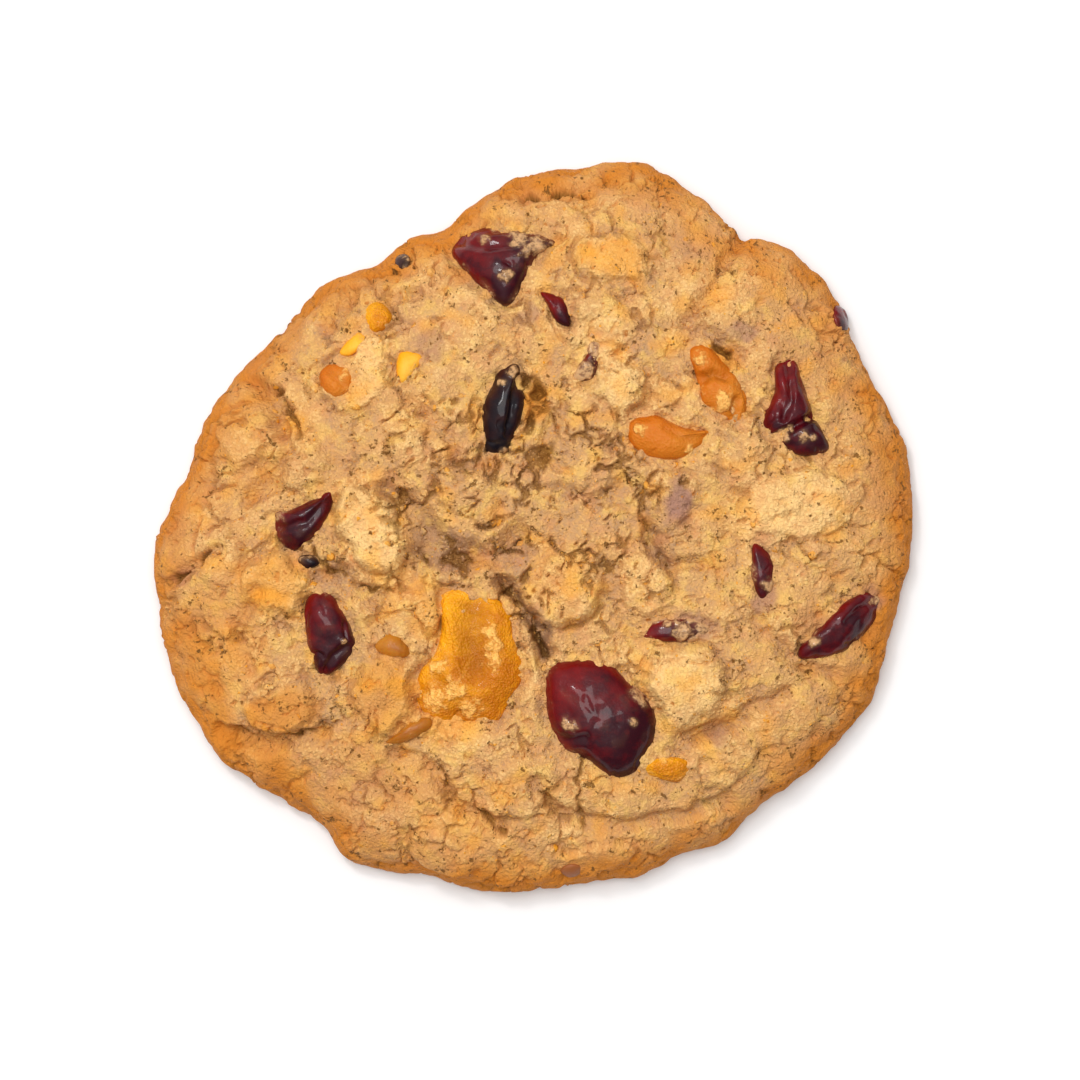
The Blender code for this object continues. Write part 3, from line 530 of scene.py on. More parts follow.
def lump_middles(points, seed):
    """For each of the 27 lattice cells round every point: the squared distance to the cell's
    random middle, and the cell's coordinates."""
    place = np.array(points.T, order="C")
    cell = np.floor(place).astype(np.int64)
    for step in itertools.product((-1, 0, 1), repeat=3):
        near = [cell[axis] + step[axis] for axis in range(3)]
        number = lattice_number(*near, seed)
        away = 0.0
        for axis in range(3):
            random_share = (number >> 10 * axis & 1023) / 1023
            away = away + (near[axis] + random_share - place[axis]) ** 2
        yield away, near


def packed_lumps(points, seed):
    """Round lumps packed together: 1 over a lump's middle, less the squared distance from it."""
    nearest = np.ones(len(points))
    for away, _ in lump_middles(points, seed):
        nearest = np.minimum(nearest, away)
    return 1 - nearest


def packed_borders(points, seed):
    """How near a place is to its lump's border: the distances of the two nearest lumps' middles,
    one less the other."""
    nearest = np.full(len(points), 9.0)
    second = nearest.copy()
    for away, _ in lump_middles(points, seed):
        second = np.minimum(second, np.maximum(nearest, away))
        nearest = np.minimum(nearest, away)
    return np.sqrt(second) - np.sqrt(nearest)


def scattered_pits(points, share, seed):
    """Round pits, one in some of the lattice cells: 1 - (distance / radius)^2 inside each.

    share is how many cells hold one, and each radius is 0.15 to 0.5 of a cell.
    """
    deepest = np.zeros(len(points))
    for away, near in lump_middles(points, seed):
        other = lattice_number(*near, seed + 50)
        radius = 0.15 + 0.35 * ((other & 1023) / 1023) ** 2
        held = (other >> 12 & 1023) / 1023 < share
        deepest = np.maximum(deepest, np.where(held, 1 - away / radius**2, 0))
    return deepest


def ragged(points, size=RAGGED_SIZE, reach=RAGGED_REACH):
    """The points moved about a little, so that what is placed by them has a torn edge."""
    moves = [smooth_noise(points / size, seed) for seed in (11, 12, 13)]
    return points + reach * np.stack(moves, axis=1)


# Smooth body of the cookie

def rim_radius(bearing):
    """Rim radius at each bearing in radians: a smooth curve through RIM_OUTLINE."""
    degrees, radii = np.array(RIM_OUTLINE, float).T
    degrees = np.concatenate([degrees[-2:] - 360, degrees, degrees[:2] + 360])
    radii = np.concatenate([radii[-2:], radii, radii[:2]])
    slopes = np.gradient(radii, degrees)
    wanted = np.degrees(bearing) % 360
    index = np.searchsorted(degrees, wanted, side="right") - 1
    span = degrees[index + 1] - degrees[index]
    t = (wanted - degrees[index]) / span
    start = (1 + 2 * t) * (1 - t) ** 2 * radii[index] + t * (1 - t) ** 2 * span * slopes[index]
    end = t * t * (3 - 2 * t) * radii[index + 1] + t * t * (t - 1) * span * slopes[index + 1]
    return start + end


def body_profile():
    """(reach, height) down the cookie's side, from the crown's middle to the edge of its underside.

    The crown and shoulder are a superellipse, and a quarter ellipse tucks the rim under.
    """
    turn = np.linspace(0, math.pi / 2, 400)
    crown_reach = np.sin(turn) ** (2 / SHOULDER_PLAN_POWER)
    crown_rise = np.cos(turn) ** (2 / SHOULDER_SIDE_POWER)
    reach = MEAN_RADIUS * np.concatenate([[0], crown_reach[1:]])
    height = RIM_HEIGHT + (CROWN_HEIGHT - RIM_HEIGHT) * crown_rise
    turn = np.linspace(0, math.pi / 2, 20)[1:]
    tuck_reach = MEAN_RADIUS - RIM_TUCK * (1 - np.cos(turn))
    tuck_height = RIM_HEIGHT * (1 - np.sin(turn))
    return np.concatenate([reach, tuck_reach]), np.concatenate([height, tuck_height])


def plan_radius(share, bearing):
    """Distance from the middle: round at the crown, and the outline's shape by the rim."""
    shaped = smooth_step(OUTLINE_STARTS, OUTLINE_ENDS, share)
    return share * (MEAN_RADIUS + (rim_radius(bearing) - MEAN_RADIUS) * shaped)


def body_form(u, v):
    """Points of the smooth body for a square grid from -1 to 1, as a disc bent down over the rim.

    The square's rings become circles of the same area, and the distance from the middle is
    the length walked down body_profile.
    """
    wide = np.abs(u) > np.abs(v)
    long_side = np.where(wide, u, v)
    short_side = np.where(wide, v, u)
    lean = math.pi / 4 * short_side / np.where(long_side == 0, 1, long_side)
    angle = np.where(wide, lean, math.pi / 2 - lean)
    bearing = np.arctan2(long_side * np.sin(angle), long_side * np.cos(angle))
    reach, height = body_profile()
    walked = np.concatenate([[0], np.cumsum(np.hypot(np.diff(reach), np.diff(height)))])
    wanted = np.abs(long_side) * walked[-1]
    radius = plan_radius(np.interp(wanted, walked, reach) / MEAN_RADIUS, bearing)
    z = np.interp(wanted, walked, height)
    return np.stack([radius * np.cos(bearing), radius * np.sin(bearing), z], axis=1)


def crown_share(x, y):
    """How far out a place on the top is: 0 in the middle and 1 on the rim."""
    bearing = np.arctan2(y, x)
    radius = np.hypot(x, y)
    share = radius / MEAN_RADIUS
    for _ in range(8):
        share = share * radius / np.maximum(plan_radius(share, bearing), 1e-6)
    return np.clip(share, 0, 1)


def crown_height(x, y):
    """Height of the smooth crown over a place on the top."""
    reach, height = body_profile()
    top = height >= RIM_HEIGHT
    return np.interp(crown_share(x, y) * MEAN_RADIUS, reach[top], height[top])


# Relief of the baked crumb

def closed_curve(outline, turns):
    """Points on a smooth closed curve through the outline, at each share of a turn."""
    outline = np.array(outline, float)
    count = len(outline)
    place = turns * count
    index = np.floor(place).astype(int)
    t = (place - index)[:, None]
    before, start, end, after = (outline[(index + step) % count] for step in (-1, 0, 1, 2))
    bend = (2 * before - 5 * start + 4 * end - after) * t**2
    twist = (3 * start - before - 3 * end + after) * t**3
    return start + ((end - before) * t + bend + twist) / 2


def outside_distance(item, x, y):
    """Distance outside the inclusion's outline, measured away from its centre."""
    edge = closed_curve(item.outline, np.linspace(0, 1, 97)[:-1])
    bearing = np.arctan2(edge[:, 1], edge[:, 0])
    order = np.argsort(bearing)
    away_x, away_y = x - item.centre[0], y - item.centre[1]
    reach = np.interp(
        np.arctan2(away_y, away_x), bearing[order], np.hypot(*edge.T)[order], period=2 * math.pi
    )
    return np.hypot(away_x, away_y) - reach


def oval_share(x, y, middle_x, middle_y, length, width, turn):
    """Distance from an oval's middle as a share of the way to its edge, and the way along it."""
    c, s = math.cos(math.radians(turn)), math.sin(math.radians(turn))
    along = ((x - middle_x) * c + (y - middle_y) * s) / (length / 2)
    across = ((y - middle_y) * c - (x - middle_x) * s) / (width / 2)
    return np.hypot(along, across), along


def line_distance(x, y, line):
    """Distance from the nearest point of a line through the given points."""
    nearest = np.full(len(x), 1e9)
    for (ax, ay), (bx, by) in itertools.pairwise(line):
        span_x, span_y = bx - ax, by - ay
        t = ((x - ax) * span_x + (y - ay) * span_y) / (span_x**2 + span_y**2)
        t = np.clip(t, 0, 1)
        nearest = np.minimum(nearest, np.hypot(x - ax - t * span_x, y - ay - t * span_y))
    return nearest


def crag_relief(x, y):
    """Height added by the crags: each a steep-sided oval mound."""
    total = np.zeros(len(x))
    for middle_x, middle_y, length, width, turn, height in CRAGS:
        share, _ = oval_share(x, y, middle_x, middle_y, length, width, turn)
        mound = height * smooth_step(-1.14, -0.76, -share)
        total = np.maximum(total, mound) + 0.3 * np.minimum(total, mound)
    return total


def crag_feet(x, y):
    """1 along the foot of each crag, where it has torn away from the dough round it."""
    total = np.zeros(len(x))
    for middle_x, middle_y, length, width, turn, _ in CRAGS:
        share, _ = oval_share(x, y, middle_x, middle_y, length, width, turn)
        from_foot = np.abs(share - 1.1) * (length + width) / 4
        total = np.maximum(total, 1 - smooth_step(0.1, 0.5, from_foot))
    return total


def valley_relief(x, y, lines):
    """Depth taken away along lines of (width, depth, points): each a smooth valley."""
    total = np.zeros(len(x))
    for width, depth, line in lines:
        total = np.maximum(total, depth * (1 - smooth_step(0, width, line_distance(x, y, line))))
    return total


def flake_relief(raised, points):
    """The relief pressed flat under each oat flake, whose far end is tipped up, and where they are."""
    x, y = ragged(points, 2.4, 0.9)[:, :2].T
    flat = np.zeros(len(x))
    for middle_x, middle_y, length, width, turn, height in FLAKES:
        share, along = oval_share(x, y, middle_x, middle_y, length, width, turn)
        on_flake = 1 - smooth_step(0.7, 1.05, share)
        level = np.average(raised, weights=on_flake + 1e-9)
        raised = raised * (1 - 0.6 * on_flake) + 0.6 * on_flake * (level + height * (0.7 + along))
        flat = np.maximum(flat, on_flake)
    return raised, flat


def calm_share(points):
    """1 over the craggy top, falling to SMOOTH_RIM_SHARE at the rim."""
    share = crown_share(points[:, 0], points[:, 1])
    return 1 - (1 - SMOOTH_RIM_SHARE) * smooth_step(SMOOTH_RIM_STARTS, 1, share)


def coarse_relief(points):
    """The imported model's relief with slightly lower lumps: crumb lumps, crags and cracks.

    Gives it and the torn places by which its crags and cracks are set.
    """
    torn = ragged(points)
    lumps = CRUMB_LUMP_HEIGHT * (packed_lumps(torn / CRUMB_LUMP, 3) - 0.75)
    grains = CRUMB_GRAIN_HEIGHT * (packed_lumps(torn / CRUMB_GRAIN, 5) - 0.75)
    raised = LUMP_SHARE * (lumps + grains) * calm_share(torn)
    raised += SWELL_HEIGHT * smooth_noise(torn / SWELL_SIZE, 7)
    torn = ragged(torn, 1.6, 0.5)
    raised += crag_relief(torn[:, 0], torn[:, 1])
    return raised - valley_relief(torn[:, 0], torn[:, 1], CRACKS), torn


def bedded_relief(raised, points):
    """The relief drawn to the level at which the dough meets each fruit, with a torn lip."""
    lip = 0.8 * smooth_noise(points / 2.2, 41) + 0.4 * smooth_noise(points / 0.9, 42) + 0.1
    raised = raised.copy()
    for item in INCLUSIONS:
        reach = np.hypot(*np.array(item.outline).T).max() + 2 * BED_REACH
        close = np.hypot(points[:, 0] - item.centre[0], points[:, 1] - item.centre[1]) < reach
        outside = outside_distance(item, points[close, 0], points[close, 1])
        bedded = 1 - smooth_step(0, BED_REACH, outside)
        level = item.rise - BED_SHARE * item.thickness + lip[close]
        raised[close] = raised[close] * (1 - bedded) + level * bedded
    return raised


def fine_relief(points, crag_place):
    """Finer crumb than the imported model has: torn lumps, and the depth of holes and crevices.

    The lumps are a sum of noise and packed lumps 0.5 to 2.2 mm across. Holes open where finer
    noise passes an edge and at scattered pits, and crevices run between clumps and at the feet of
    crags. All of them are shallower outside CRAGGY_MIDDLE.
    """
    torn = ragged(points, 1.7, 0.25)
    raised = 0.16 * smooth_noise(torn / 1.9, 21) + 0.12 * smooth_noise(torn / 0.9, 22)
    raised += 0.22 * (packed_lumps(torn / 2.2, 23) - 0.72) + 0.08 * smooth_noise(points / 0.5, 28)
    torn = ragged(points, 1.7, 0.5)
    eaten = smooth_noise(torn / 1.25, 24) + 0.55 * smooth_noise(torn / 0.62, 25)
    edge = 0.66 - 0.4 * smooth_noise(points / 5.5, 26)
    deep = 0.9 * smooth_step(edge, edge + 0.2, eaten)
    deep = np.maximum(deep, 0.8 * scattered_pits(torn / 1.3, 0.2, 29))
    torn = ragged(torn, 0.9, 0.35)
    for size, half_width, depth, seed in CREVICES:
        border = packed_borders(torn / size, seed)
        here = smooth_step(0.05, 0.3, smooth_noise(points / (1.3 * size), seed + 1))
        deep = np.maximum(deep, depth * (1 - smooth_step(0.02, half_width, border)) * here)
    here = smooth_step(-0.05, 0.25, smooth_noise(points / 3.6, 37))
    feet = crag_feet(crag_place[:, 0], crag_place[:, 1])
    middle_x, middle_y, reach, calm, left = CRAGGY_MIDDLE
    away = np.hypot(points[:, 0] - middle_x, points[:, 1] - middle_y)
    share = 1 - (1 - left) * smooth_step(reach, calm, away)
    return raised * share, np.maximum(deep, feet * here) * share


# Meshes

def grid_triangles(rows, columns):
    """Triangles of a grid with rows + 1 by columns + 1 corners, numbered row by row."""
    corner = (np.arange(rows)[:, None] * (columns + 1) + np.arange(columns)).ravel()
    right, above = corner + 1, corner + columns + 1
    lower = np.stack([corner, right, above + 1], axis=1)
    upper = np.stack([corner, above + 1, above], axis=1)
    return np.concatenate([lower, upper])


def vertex_normals(points, triangles):
    """Unit normals at the points: the sum of their triangles' normals, weighted by area."""
    a, b, c = (points[triangles[:, corner]] for corner in range(3))
    face = np.cross(b - a, c - a)
    total = np.zeros_like(points)
    for corner, axis in itertools.product(range(3), range(3)):
        total[:, axis] += np.bincount(triangles[:, corner], face[:, axis], len(points))
    return total / np.maximum(np.linalg.norm(total, axis=1), 1e-12)[:, None]


def piece_from(name, points, triangles, material, colours=None):
    """A smooth-shaded piece from points in millimetres, riding on the cookie's one body.

    colours maps an attribute's name to four numbers for each point.
    """
    mesh = bpy.data.meshes.new(name)
    mesh.vertices.add(len(points))
    mesh.vertices.foreach_set("co", (points * MM).ravel())
    mesh.loops.add(triangles.size)
    mesh.loops.foreach_set("vertex_index", triangles.ravel().astype(np.int32))
    mesh.polygons.add(len(triangles))
    mesh.polygons.foreach_set("loop_start", np.arange(0, triangles.size, 3, dtype=np.int32))
    mesh.update(calc_edges=True)
    mesh.validate()
    mesh.shade_smooth()
    for attribute, values in (colours or {}).items():
        made = mesh.color_attributes.new(attribute, "FLOAT_COLOR", "POINT")
        made.data.foreach_set("color", values.astype(np.float32).ravel())
    mesh.materials.append(material)
    piece = bpy.data.objects.new(name, mesh)
    bpy.context.scene.collection.objects.link(piece)
    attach(piece, "root")
    return piece


# Shader nodes

def place(tree, kind, at, inputs=None, **settings):
    """Adds a node at a place in the tree, sets its options, and fills its inputs.

    An input is a value, or another node's output to link from.
    """
    node = tree.nodes.new(kind)
    node.location = at
    for setting, value in settings.items():
        setattr(node, setting, value)
    for socket, value in (inputs or {}).items():
        if isinstance(value, bpy.types.NodeSocket):
            tree.links.new(value, node.inputs[socket])
        else:
            node.inputs[socket].default_value = value
    return node


def mixed(tree, at, share, base, over, blend_type="MIX"):
    """Colour output of a Mix node that lays one colour over another by a share."""
    inputs = {0: share, 6: base, 7: over}
    node = place(tree, "ShaderNodeMix", at, inputs, data_type="RGBA", blend_type=blend_type)
    return node.outputs[2]


def maths(tree, at, operation, first, second=0.0):
    """Output of a Math node that is clamped to 0 to 1."""
    inputs = {0: first, 1: second}
    node = place(tree, "ShaderNodeMath", at, inputs, operation=operation, use_clamp=True)
    return node.outputs[0]


def stepped(tree, at, value, low, high, bottom=0.0, top=1.0):
    """Output of a smooth Map Range from low..high to bottom..top."""
    inputs = {"Value": value, "From Min": low, "From Max": high, "To Min": bottom, "To Max": top}
    node = place(tree, "ShaderNodeMapRange", at, inputs, interpolation_type="SMOOTHSTEP")
    return node.outputs["Result"]


def noise_at(tree, at, coordinates, size_mm, detail=2.0, roughness=0.5):
    """Value of a noise texture whose features are about size_mm across."""
    inputs = {"Vector": coordinates, "Scale": 1 / (size_mm * MM), "Detail": detail,
              "Roughness": roughness}
    return place(tree, "ShaderNodeTexNoise", at, inputs).outputs["Fac"]


def new_group(name, inputs, outputs):
    """An empty shader group with (name, socket type, default) inputs and outputs."""
    group = bpy.data.node_groups.new(name, "ShaderNodeTree")
    for direction, sockets in (("INPUT", inputs), ("OUTPUT", outputs)):
        for socket_name, socket_type, default in sockets:
            socket = group.interface.new_socket(
                socket_name, in_out=direction, socket_type="NodeSocket" + socket_type
            )
            if default is not None:
                socket.default_value = default
    return group, group.nodes.new("NodeGroupInput"), group.nodes.new("NodeGroupOutput")


def counted_in_size(group, given):
    """A group's Coordinates counted in its Size in millimetres."""
    per_size = place(group, "ShaderNodeMath", (-1100, 200), {0: 1 / MM, 1: given.outputs["Size"]},
                     operation="DIVIDE").outputs[0]
    inputs = {0: given.outputs["Coordinates"], "Scale": per_size}
    return place(group, "ShaderNodeVectorMath", (-900, 200), inputs, operation="SCALE").outputs[0]


def speckle_group():
    """Dots in a cellular pattern: each cell with a high enough random number holds one.

    Size is the cell in millimetres, Share how many cells hold a dot and Dot its radius.
    """
    group, given, result = new_group(
        "speckle",
        (("Coordinates", "Vector", None), ("Size", "Float", 1.0), ("Share", "Float", 0.3),
         ("Dot", "Float", 0.25), ("Ragged", "Float", 0.3)),
        (("Mask", "Float", None),),
    )
    scaled = counted_in_size(group, given)
    wobble = place(group, "ShaderNodeTexNoise", (-700, -50),
                   {"Vector": scaled, "Scale": 2.6, "Detail": 0.0}).outputs["Color"]
    centred = place(group, "ShaderNodeVectorMath", (-520, -50), {0: wobble, 1: (0.5, 0.5, 0.5)},
                    operation="SUBTRACT").outputs[0]
    moved = place(group, "ShaderNodeVectorMath", (-350, -50),
                  {0: centred, "Scale": given.outputs["Ragged"]}, operation="SCALE").outputs[0]
    torn = place(group, "ShaderNodeVectorMath", (-180, 100), {0: scaled, 1: moved},
                 operation="ADD").outputs[0]
    cells = place(group, "ShaderNodeTexVoronoi", (0, 100), {"Vector": torn, "Scale": 1.0})
    picked = place(group, "ShaderNodeSeparateColor", (200, 250), {0: cells.outputs["Color"]})
    held = maths(group, (400, 300), "LESS_THAN", picked.outputs[0], given.outputs["Share"])
    size = place(group, "ShaderNodeMath", (400, 120),
                 {0: picked.outputs[1], 1: given.outputs["Dot"]}, operation="MULTIPLY").outputs[0]
    inner = place(group, "ShaderNodeMath", (560, 20), {0: size, 1: 0.5},
                  operation="MULTIPLY").outputs[0]
    inside = place(group, "ShaderNodeMapRange", (720, 100),
                   {"Value": cells.outputs["Distance"], "From Min": size, "From Max": inner},
                   interpolation_type="LINEAR").outputs["Result"]
    mask = maths(group, (900, 200), "MULTIPLY", held, inside)
    group.links.new(mask, result.inputs["Mask"])
    return group


def grain_group():
    """Fine baked crumb: round granules broken up by noise, as a shade and as a bump height."""
    group, given, result = new_group(
        "crumb_grain",
        (("Coordinates", "Vector", None), ("Size", "Float", 0.45)),
        (("Shade", "Float", None), ("Height", "Float", None)),
    )
    scaled = counted_in_size(group, given)
    wobble = place(group, "ShaderNodeTexNoise", (-700, -250),
                   {"Vector": scaled, "Scale": 1.5, "Detail": 0.0}).outputs["Color"]
    torn = place(group, "ShaderNodeVectorMath", (-500, -200),
                 {0: wobble, 1: (0.45, 0.45, 0.45), 2: scaled},
                 operation="MULTIPLY_ADD").outputs[0]
    granules = place(group, "ShaderNodeTexVoronoi", (-300, -200), {"Vector": torn, "Scale": 1.0},
                     feature="F1").outputs["Distance"]
    round_top = stepped(group, (-100, -200), granules, 0.1, 0.8, 1.0, 0.0)
    broad = place(group, "ShaderNodeTexNoise", (-500, 250),
                  {"Vector": scaled, "Scale": 0.28, "Detail": 4.0, "Roughness": 0.62}).outputs["Fac"]
    crumbs = place(group, "ShaderNodeTexNoise", (-500, 0),
                   {"Vector": scaled, "Scale": 1.9, "Detail": 2.0, "Roughness": 0.6}).outputs["Fac"]
    both = place(group, "ShaderNodeMath", (100, 0), {0: round_top, 1: 0.5, 2: crumbs},
                 operation="MULTIPLY_ADD").outputs[0]
    fine = place(group, "ShaderNodeMath", (280, 100), {0: both, 1: -0.25}, operation="ADD").outputs[0]
    half = place(group, "ShaderNodeMath", (460, 250), {0: broad, 1: 0.6},
                 operation="MULTIPLY").outputs[0]
    shade = place(group, "ShaderNodeMath", (640, 200), {0: fine, 1: 0.4, 2: half},
                  operation="MULTIPLY_ADD").outputs[0]
    group.links.new(shade, result.inputs["Shade"])
    group.links.new(both, result.inputs["Height"])
    return group


def hole_group():
    """Torn little holes: where fine noise is high, more of them where broad noise is high too."""
    group, given, result = new_group(
        "torn_holes",
        (("Coordinates", "Vector", None), ("Size", "Float", 0.6), ("Edge", "Float", 0.66)),
        (("Mask", "Float", None),),
    )
    scaled = counted_in_size(group, given)
    fine = place(group, "ShaderNodeTexNoise", (-500, 200),
                 {"Vector": scaled, "Scale": 0.7, "Detail": 3.5, "Roughness": 0.6}).outputs["Fac"]
    broad = place(group, "ShaderNodeTexNoise", (-500, -50),
                  {"Vector": scaled, "Scale": 0.16, "Detail": 2.0}).outputs["Fac"]
    value = place(group, "ShaderNodeMath", (-300, 100), {0: broad, 1: 0.5, 2: fine},
                  operation="MULTIPLY_ADD").outputs[0]
    edge = place(group, "ShaderNodeMath", (-300, -150), {0: given.outputs["Edge"], 1: 0.25},
                 operation="ADD").outputs[0]
    full = place(group, "ShaderNodeMath", (-100, -150), {0: edge, 1: 0.06}, operation="ADD").outputs[0]
    mask = place(group, "ShaderNodeMapRange", (100, 100),
                 {"Value": value, "From Min": edge, "From Max": full},
                 interpolation_type="LINEAR").outputs["Result"]
    group.links.new(mask, result.inputs["Mask"])
    return group


def use_group(tree, group, at, inputs):
    """A group node placed in a material, with its inputs filled."""
    return place(tree, "ShaderNodeGroup", at, inputs, node_tree=group)


def shared_group(name, build):
    """The shader group of that name, built the first time that it is asked for."""
    return bpy.data.node_groups.get(name) or build()


def new_material(name):
    """A material with a Principled BSDF, and its tree, shader and Object coordinates."""
    material = bpy.data.materials.new(name)
    material.use_nodes = True
    tree = material.node_tree
    shader = tree.nodes["Principled BSDF"]
    shader.location = (900, 0)
    tree.nodes["Material Output"].location = (1200, 0)
    coordinates = place(tree, "ShaderNodeTexCoord", (-2000, 0)).outputs["Object"]
    return material, tree, shader, coordinates


def painted(tree, name, at):
    """Three values that were painted on the mesh under a name."""
    colour = place(tree, "ShaderNodeAttribute", at, attribute_name=name).outputs["Color"]
    return place(tree, "ShaderNodeSeparateColor", (at[0] + 200, at[1]), {0: colour}).outputs


def rgba(colour):
    """A colour with its alpha, for a shader socket."""
    return (*colour, 1.0)


def dough_material(look):
    """Baked crumb with a toasted rim and orange specks. Its tops are painted paler as painted light,
    and its hollows, torn holes and pits are painted darker as painted shade.

    Its patterns follow crumb_place, where each point lies before the relief raises it, so they
    aren't drawn out on steep crumb.
    """
    material, tree, shader, _ = new_material("dough")
    coordinates = place(tree, "ShaderNodeAttribute", (-2000, 200),
                        attribute_name="crumb_place").outputs["Vector"]
    baked = painted(tree, "baking", (-1800, 500))
    tinted = painted(tree, "tints", (-1800, 250))
    grain = use_group(tree, shared_group("crumb_grain", grain_group), (-1500, -100),
                      {"Coordinates": coordinates, "Size": look.grain_size})
    shade = place(tree, "ShaderNodeMath", (-1250, 300), {0: grain.outputs["Shade"], 1: 0.5},
                  operation="SUBTRACT").outputs[0]
    # The painted tone, with its painted light and shade, and the grain's shade pick a colour from
    # brown to pale.
    tone = place(tree, "ShaderNodeMath", (-1080, 350), {0: shade, 1: look.grain_contrast, 2: baked[0]},
                 operation="MULTIPLY_ADD").outputs[0]
    ramp = place(tree, "ShaderNodeValToRGB", (-900, 400), {0: tone})
    stops = ramp.color_ramp.elements
    stops[0].position, stops[0].color = 0.0, rgba(look.brown_colour)
    stops[1].position, stops[1].color = 1.0, rgba(look.pale_colour)
    middle = stops.new(0.5)
    middle.color = rgba(look.dough_colour)
    colour = ramp.outputs[0]
    bran = noise_at(tree, (-1500, 700), coordinates, 2.4, 3.0, 0.6)
    yellow = stepped(tree, (-1250, 700), bran, 0.5, 0.68, 0.0, 0.5)
    pink = stepped(tree, (-1250, 900), bran, 0.3, 0.48, 0.35, 0.0)
    colour = mixed(tree, (-700, 600), yellow, colour, rgba(look.oat_colour))
    colour = mixed(tree, (-620, 800), pink, colour, rgba(look.warm_colour))
    colour = mixed(tree, (-620, 400), tinted[0], colour, rgba(look.orange_colour))
    colour = mixed(tree, (-440, 400), baked[1], colour, rgba(look.toast_colour))
    colour = mixed(tree, (-260, 400), tinted[1], colour, rgba(look.stain_colour))
    # Painted shade in the cracks and holes.
    hollow_shade = maths(tree, (-440, 150), "MULTIPLY", baked[2], 0.85)
    colour = mixed(tree, (-80, 400), hollow_shade, colour, rgba(look.hollow_shade_colour))
    heights = grain.outputs["Height"]
    # Torn holes, darkened with painted shade and sunk by the bump.
    hole = use_group(tree, shared_group("torn_holes", hole_group), (-1500, -350),
                     {"Coordinates": coordinates, "Size": 0.5, "Edge": 0.66})
    amount = maths(tree, (-900, -350), "MULTIPLY", hole.outputs[0], 0.9)
    colour = mixed(tree, (100, 400), amount, colour, rgba(look.pore_shade_colour))
    heights = place(tree, "ShaderNodeMath", (-600, -350), {0: hole.outputs[0], 1: -0.7, 2: heights},
                    operation="MULTIPLY_ADD").outputs[0]
    # The first specks are small pits darkened with painted shade, and the second are toasted bran
    # specks.
    specks = (
        (0.75, 0.26, 0.36, look.pore_shade_colour, 0.95),
        (1.3, 0.16, 0.28, look.speck_colour, 0.85),
    )
    for index, (size, share, dot, fill, strength) in enumerate(specks):
        spot = use_group(tree, shared_group("speckle", speckle_group), (-1500, -900 - 250 * index),
                         {"Coordinates": coordinates, "Size": size, "Share": share, "Dot": dot,
                          "Ragged": 0.5})
        amount = maths(tree, (-900, -900 - 250 * index), "MULTIPLY", spot.outputs["Mask"], strength)
        colour = mixed(tree, (460 + 180 * index, 400), amount, colour, rgba(fill))
    bump = place(tree, "ShaderNodeBump", (600, -200),
                 {"Strength": look.grain_bump, "Distance": 0.3 * MM, "Height": heights})
    tree.links.new(colour, shader.inputs["Base Color"])
    tree.links.new(bump.outputs[0], shader.inputs["Normal"])
    shader.inputs["Roughness"].default_value = 0.75
    shader.inputs["Specular IOR Level"].default_value = 0.25
    return material


def fruit_material(name, deep, bright, crust, roughness, subsurface, gloss, coat=0.0,
                   glitter=0.0):
    """Dried fruit or nut: a deep body, brighter at its thin edge and on its upper left side as painted
    light, darker in its creases as painted shade, with dough dust on some of its edge.
    """
    material, tree, shader, coordinates = new_material(name)
    painted_on = painted(tree, "skin", (-1800, 400))
    mottle = noise_at(tree, (-1500, 200), coordinates, 1.4, 4.0, 0.65)
    spread = stepped(tree, (-1250, 200), mottle, 0.35, 0.7, -0.22, 0.22)
    # Painted light: the bright colour where the fruit is thin at its edge and on its upper left side,
    # broken up by random mottling.
    lit_and_thin = maths(tree, (-1050, 300), "ADD", painted_on[1], spread)
    colour = mixed(tree, (-850, 300), lit_and_thin, rgba(deep), rgba(bright))
    # Painted shade: darker in the creases and grooves.
    shadow = maths(tree, (-1050, 150), "MULTIPLY", painted_on[2], 0.4)
    colour = mixed(tree, (-730, 300), shadow, colour, rgba([0.3 * part for part in deep]))
    fine = noise_at(tree, (-1500, -50), coordinates, 0.5, 3.0, 0.65)
    ragged_edge = stepped(tree, (-1250, -50), fine, 0.3, 0.7, -0.3, 0.3)
    dust = maths(tree, (-1050, 0), "ADD", painted_on[0], ragged_edge)
    dusted = stepped(tree, (-850, 0), dust, 0.3, 1.0)
    colour = mixed(tree, (-600, 300), dusted, colour, rgba(crust))
    film = maths(tree, (-600, 100), "MULTIPLY", painted_on[0], 0.2)
    colour = mixed(tree, (-400, 300), film, colour, rgba(crust))
    tree.links.new(colour, shader.inputs["Base Color"])
    rough = stepped(tree, (-300, -50), dusted, 0.0, 1.0, roughness, 0.8)
    tree.links.new(rough, shader.inputs["Roughness"])
    height = place(tree, "ShaderNodeMath", (-300, -300), {0: dusted, 1: 1.2, 2: fine},
                   operation="MULTIPLY_ADD").outputs[0]
    if glitter:
        sugar = place(tree, "ShaderNodeTexVoronoi", (-700, -450),
                      {"Vector": coordinates, "Scale": 1 / (0.28 * MM)}).outputs["Distance"]
        height = place(tree, "ShaderNodeMath", (-100, -300), {0: sugar, 1: glitter, 2: height},
                       operation="MULTIPLY_ADD").outputs[0]
    bump = place(tree, "ShaderNodeBump", (600, -200),
                 {"Strength": 0.7, "Distance": 0.12 * MM, "Height": height})
    tree.links.new(bump.outputs[0], shader.inputs["Normal"])
    shader.inputs["Specular IOR Level"].default_value = gloss
    shader.inputs["Coat Weight"].default_value = coat
    shader.inputs["Coat Roughness"].default_value = 0.07
    shader.inputs["Subsurface Weight"].default_value = subsurface
    shader.inputs["Subsurface Radius"].default_value = (1.0, 0.3, 0.15)
    shader.inputs["Subsurface Scale"].default_value = 1.2 * MM
    return material


# The dough

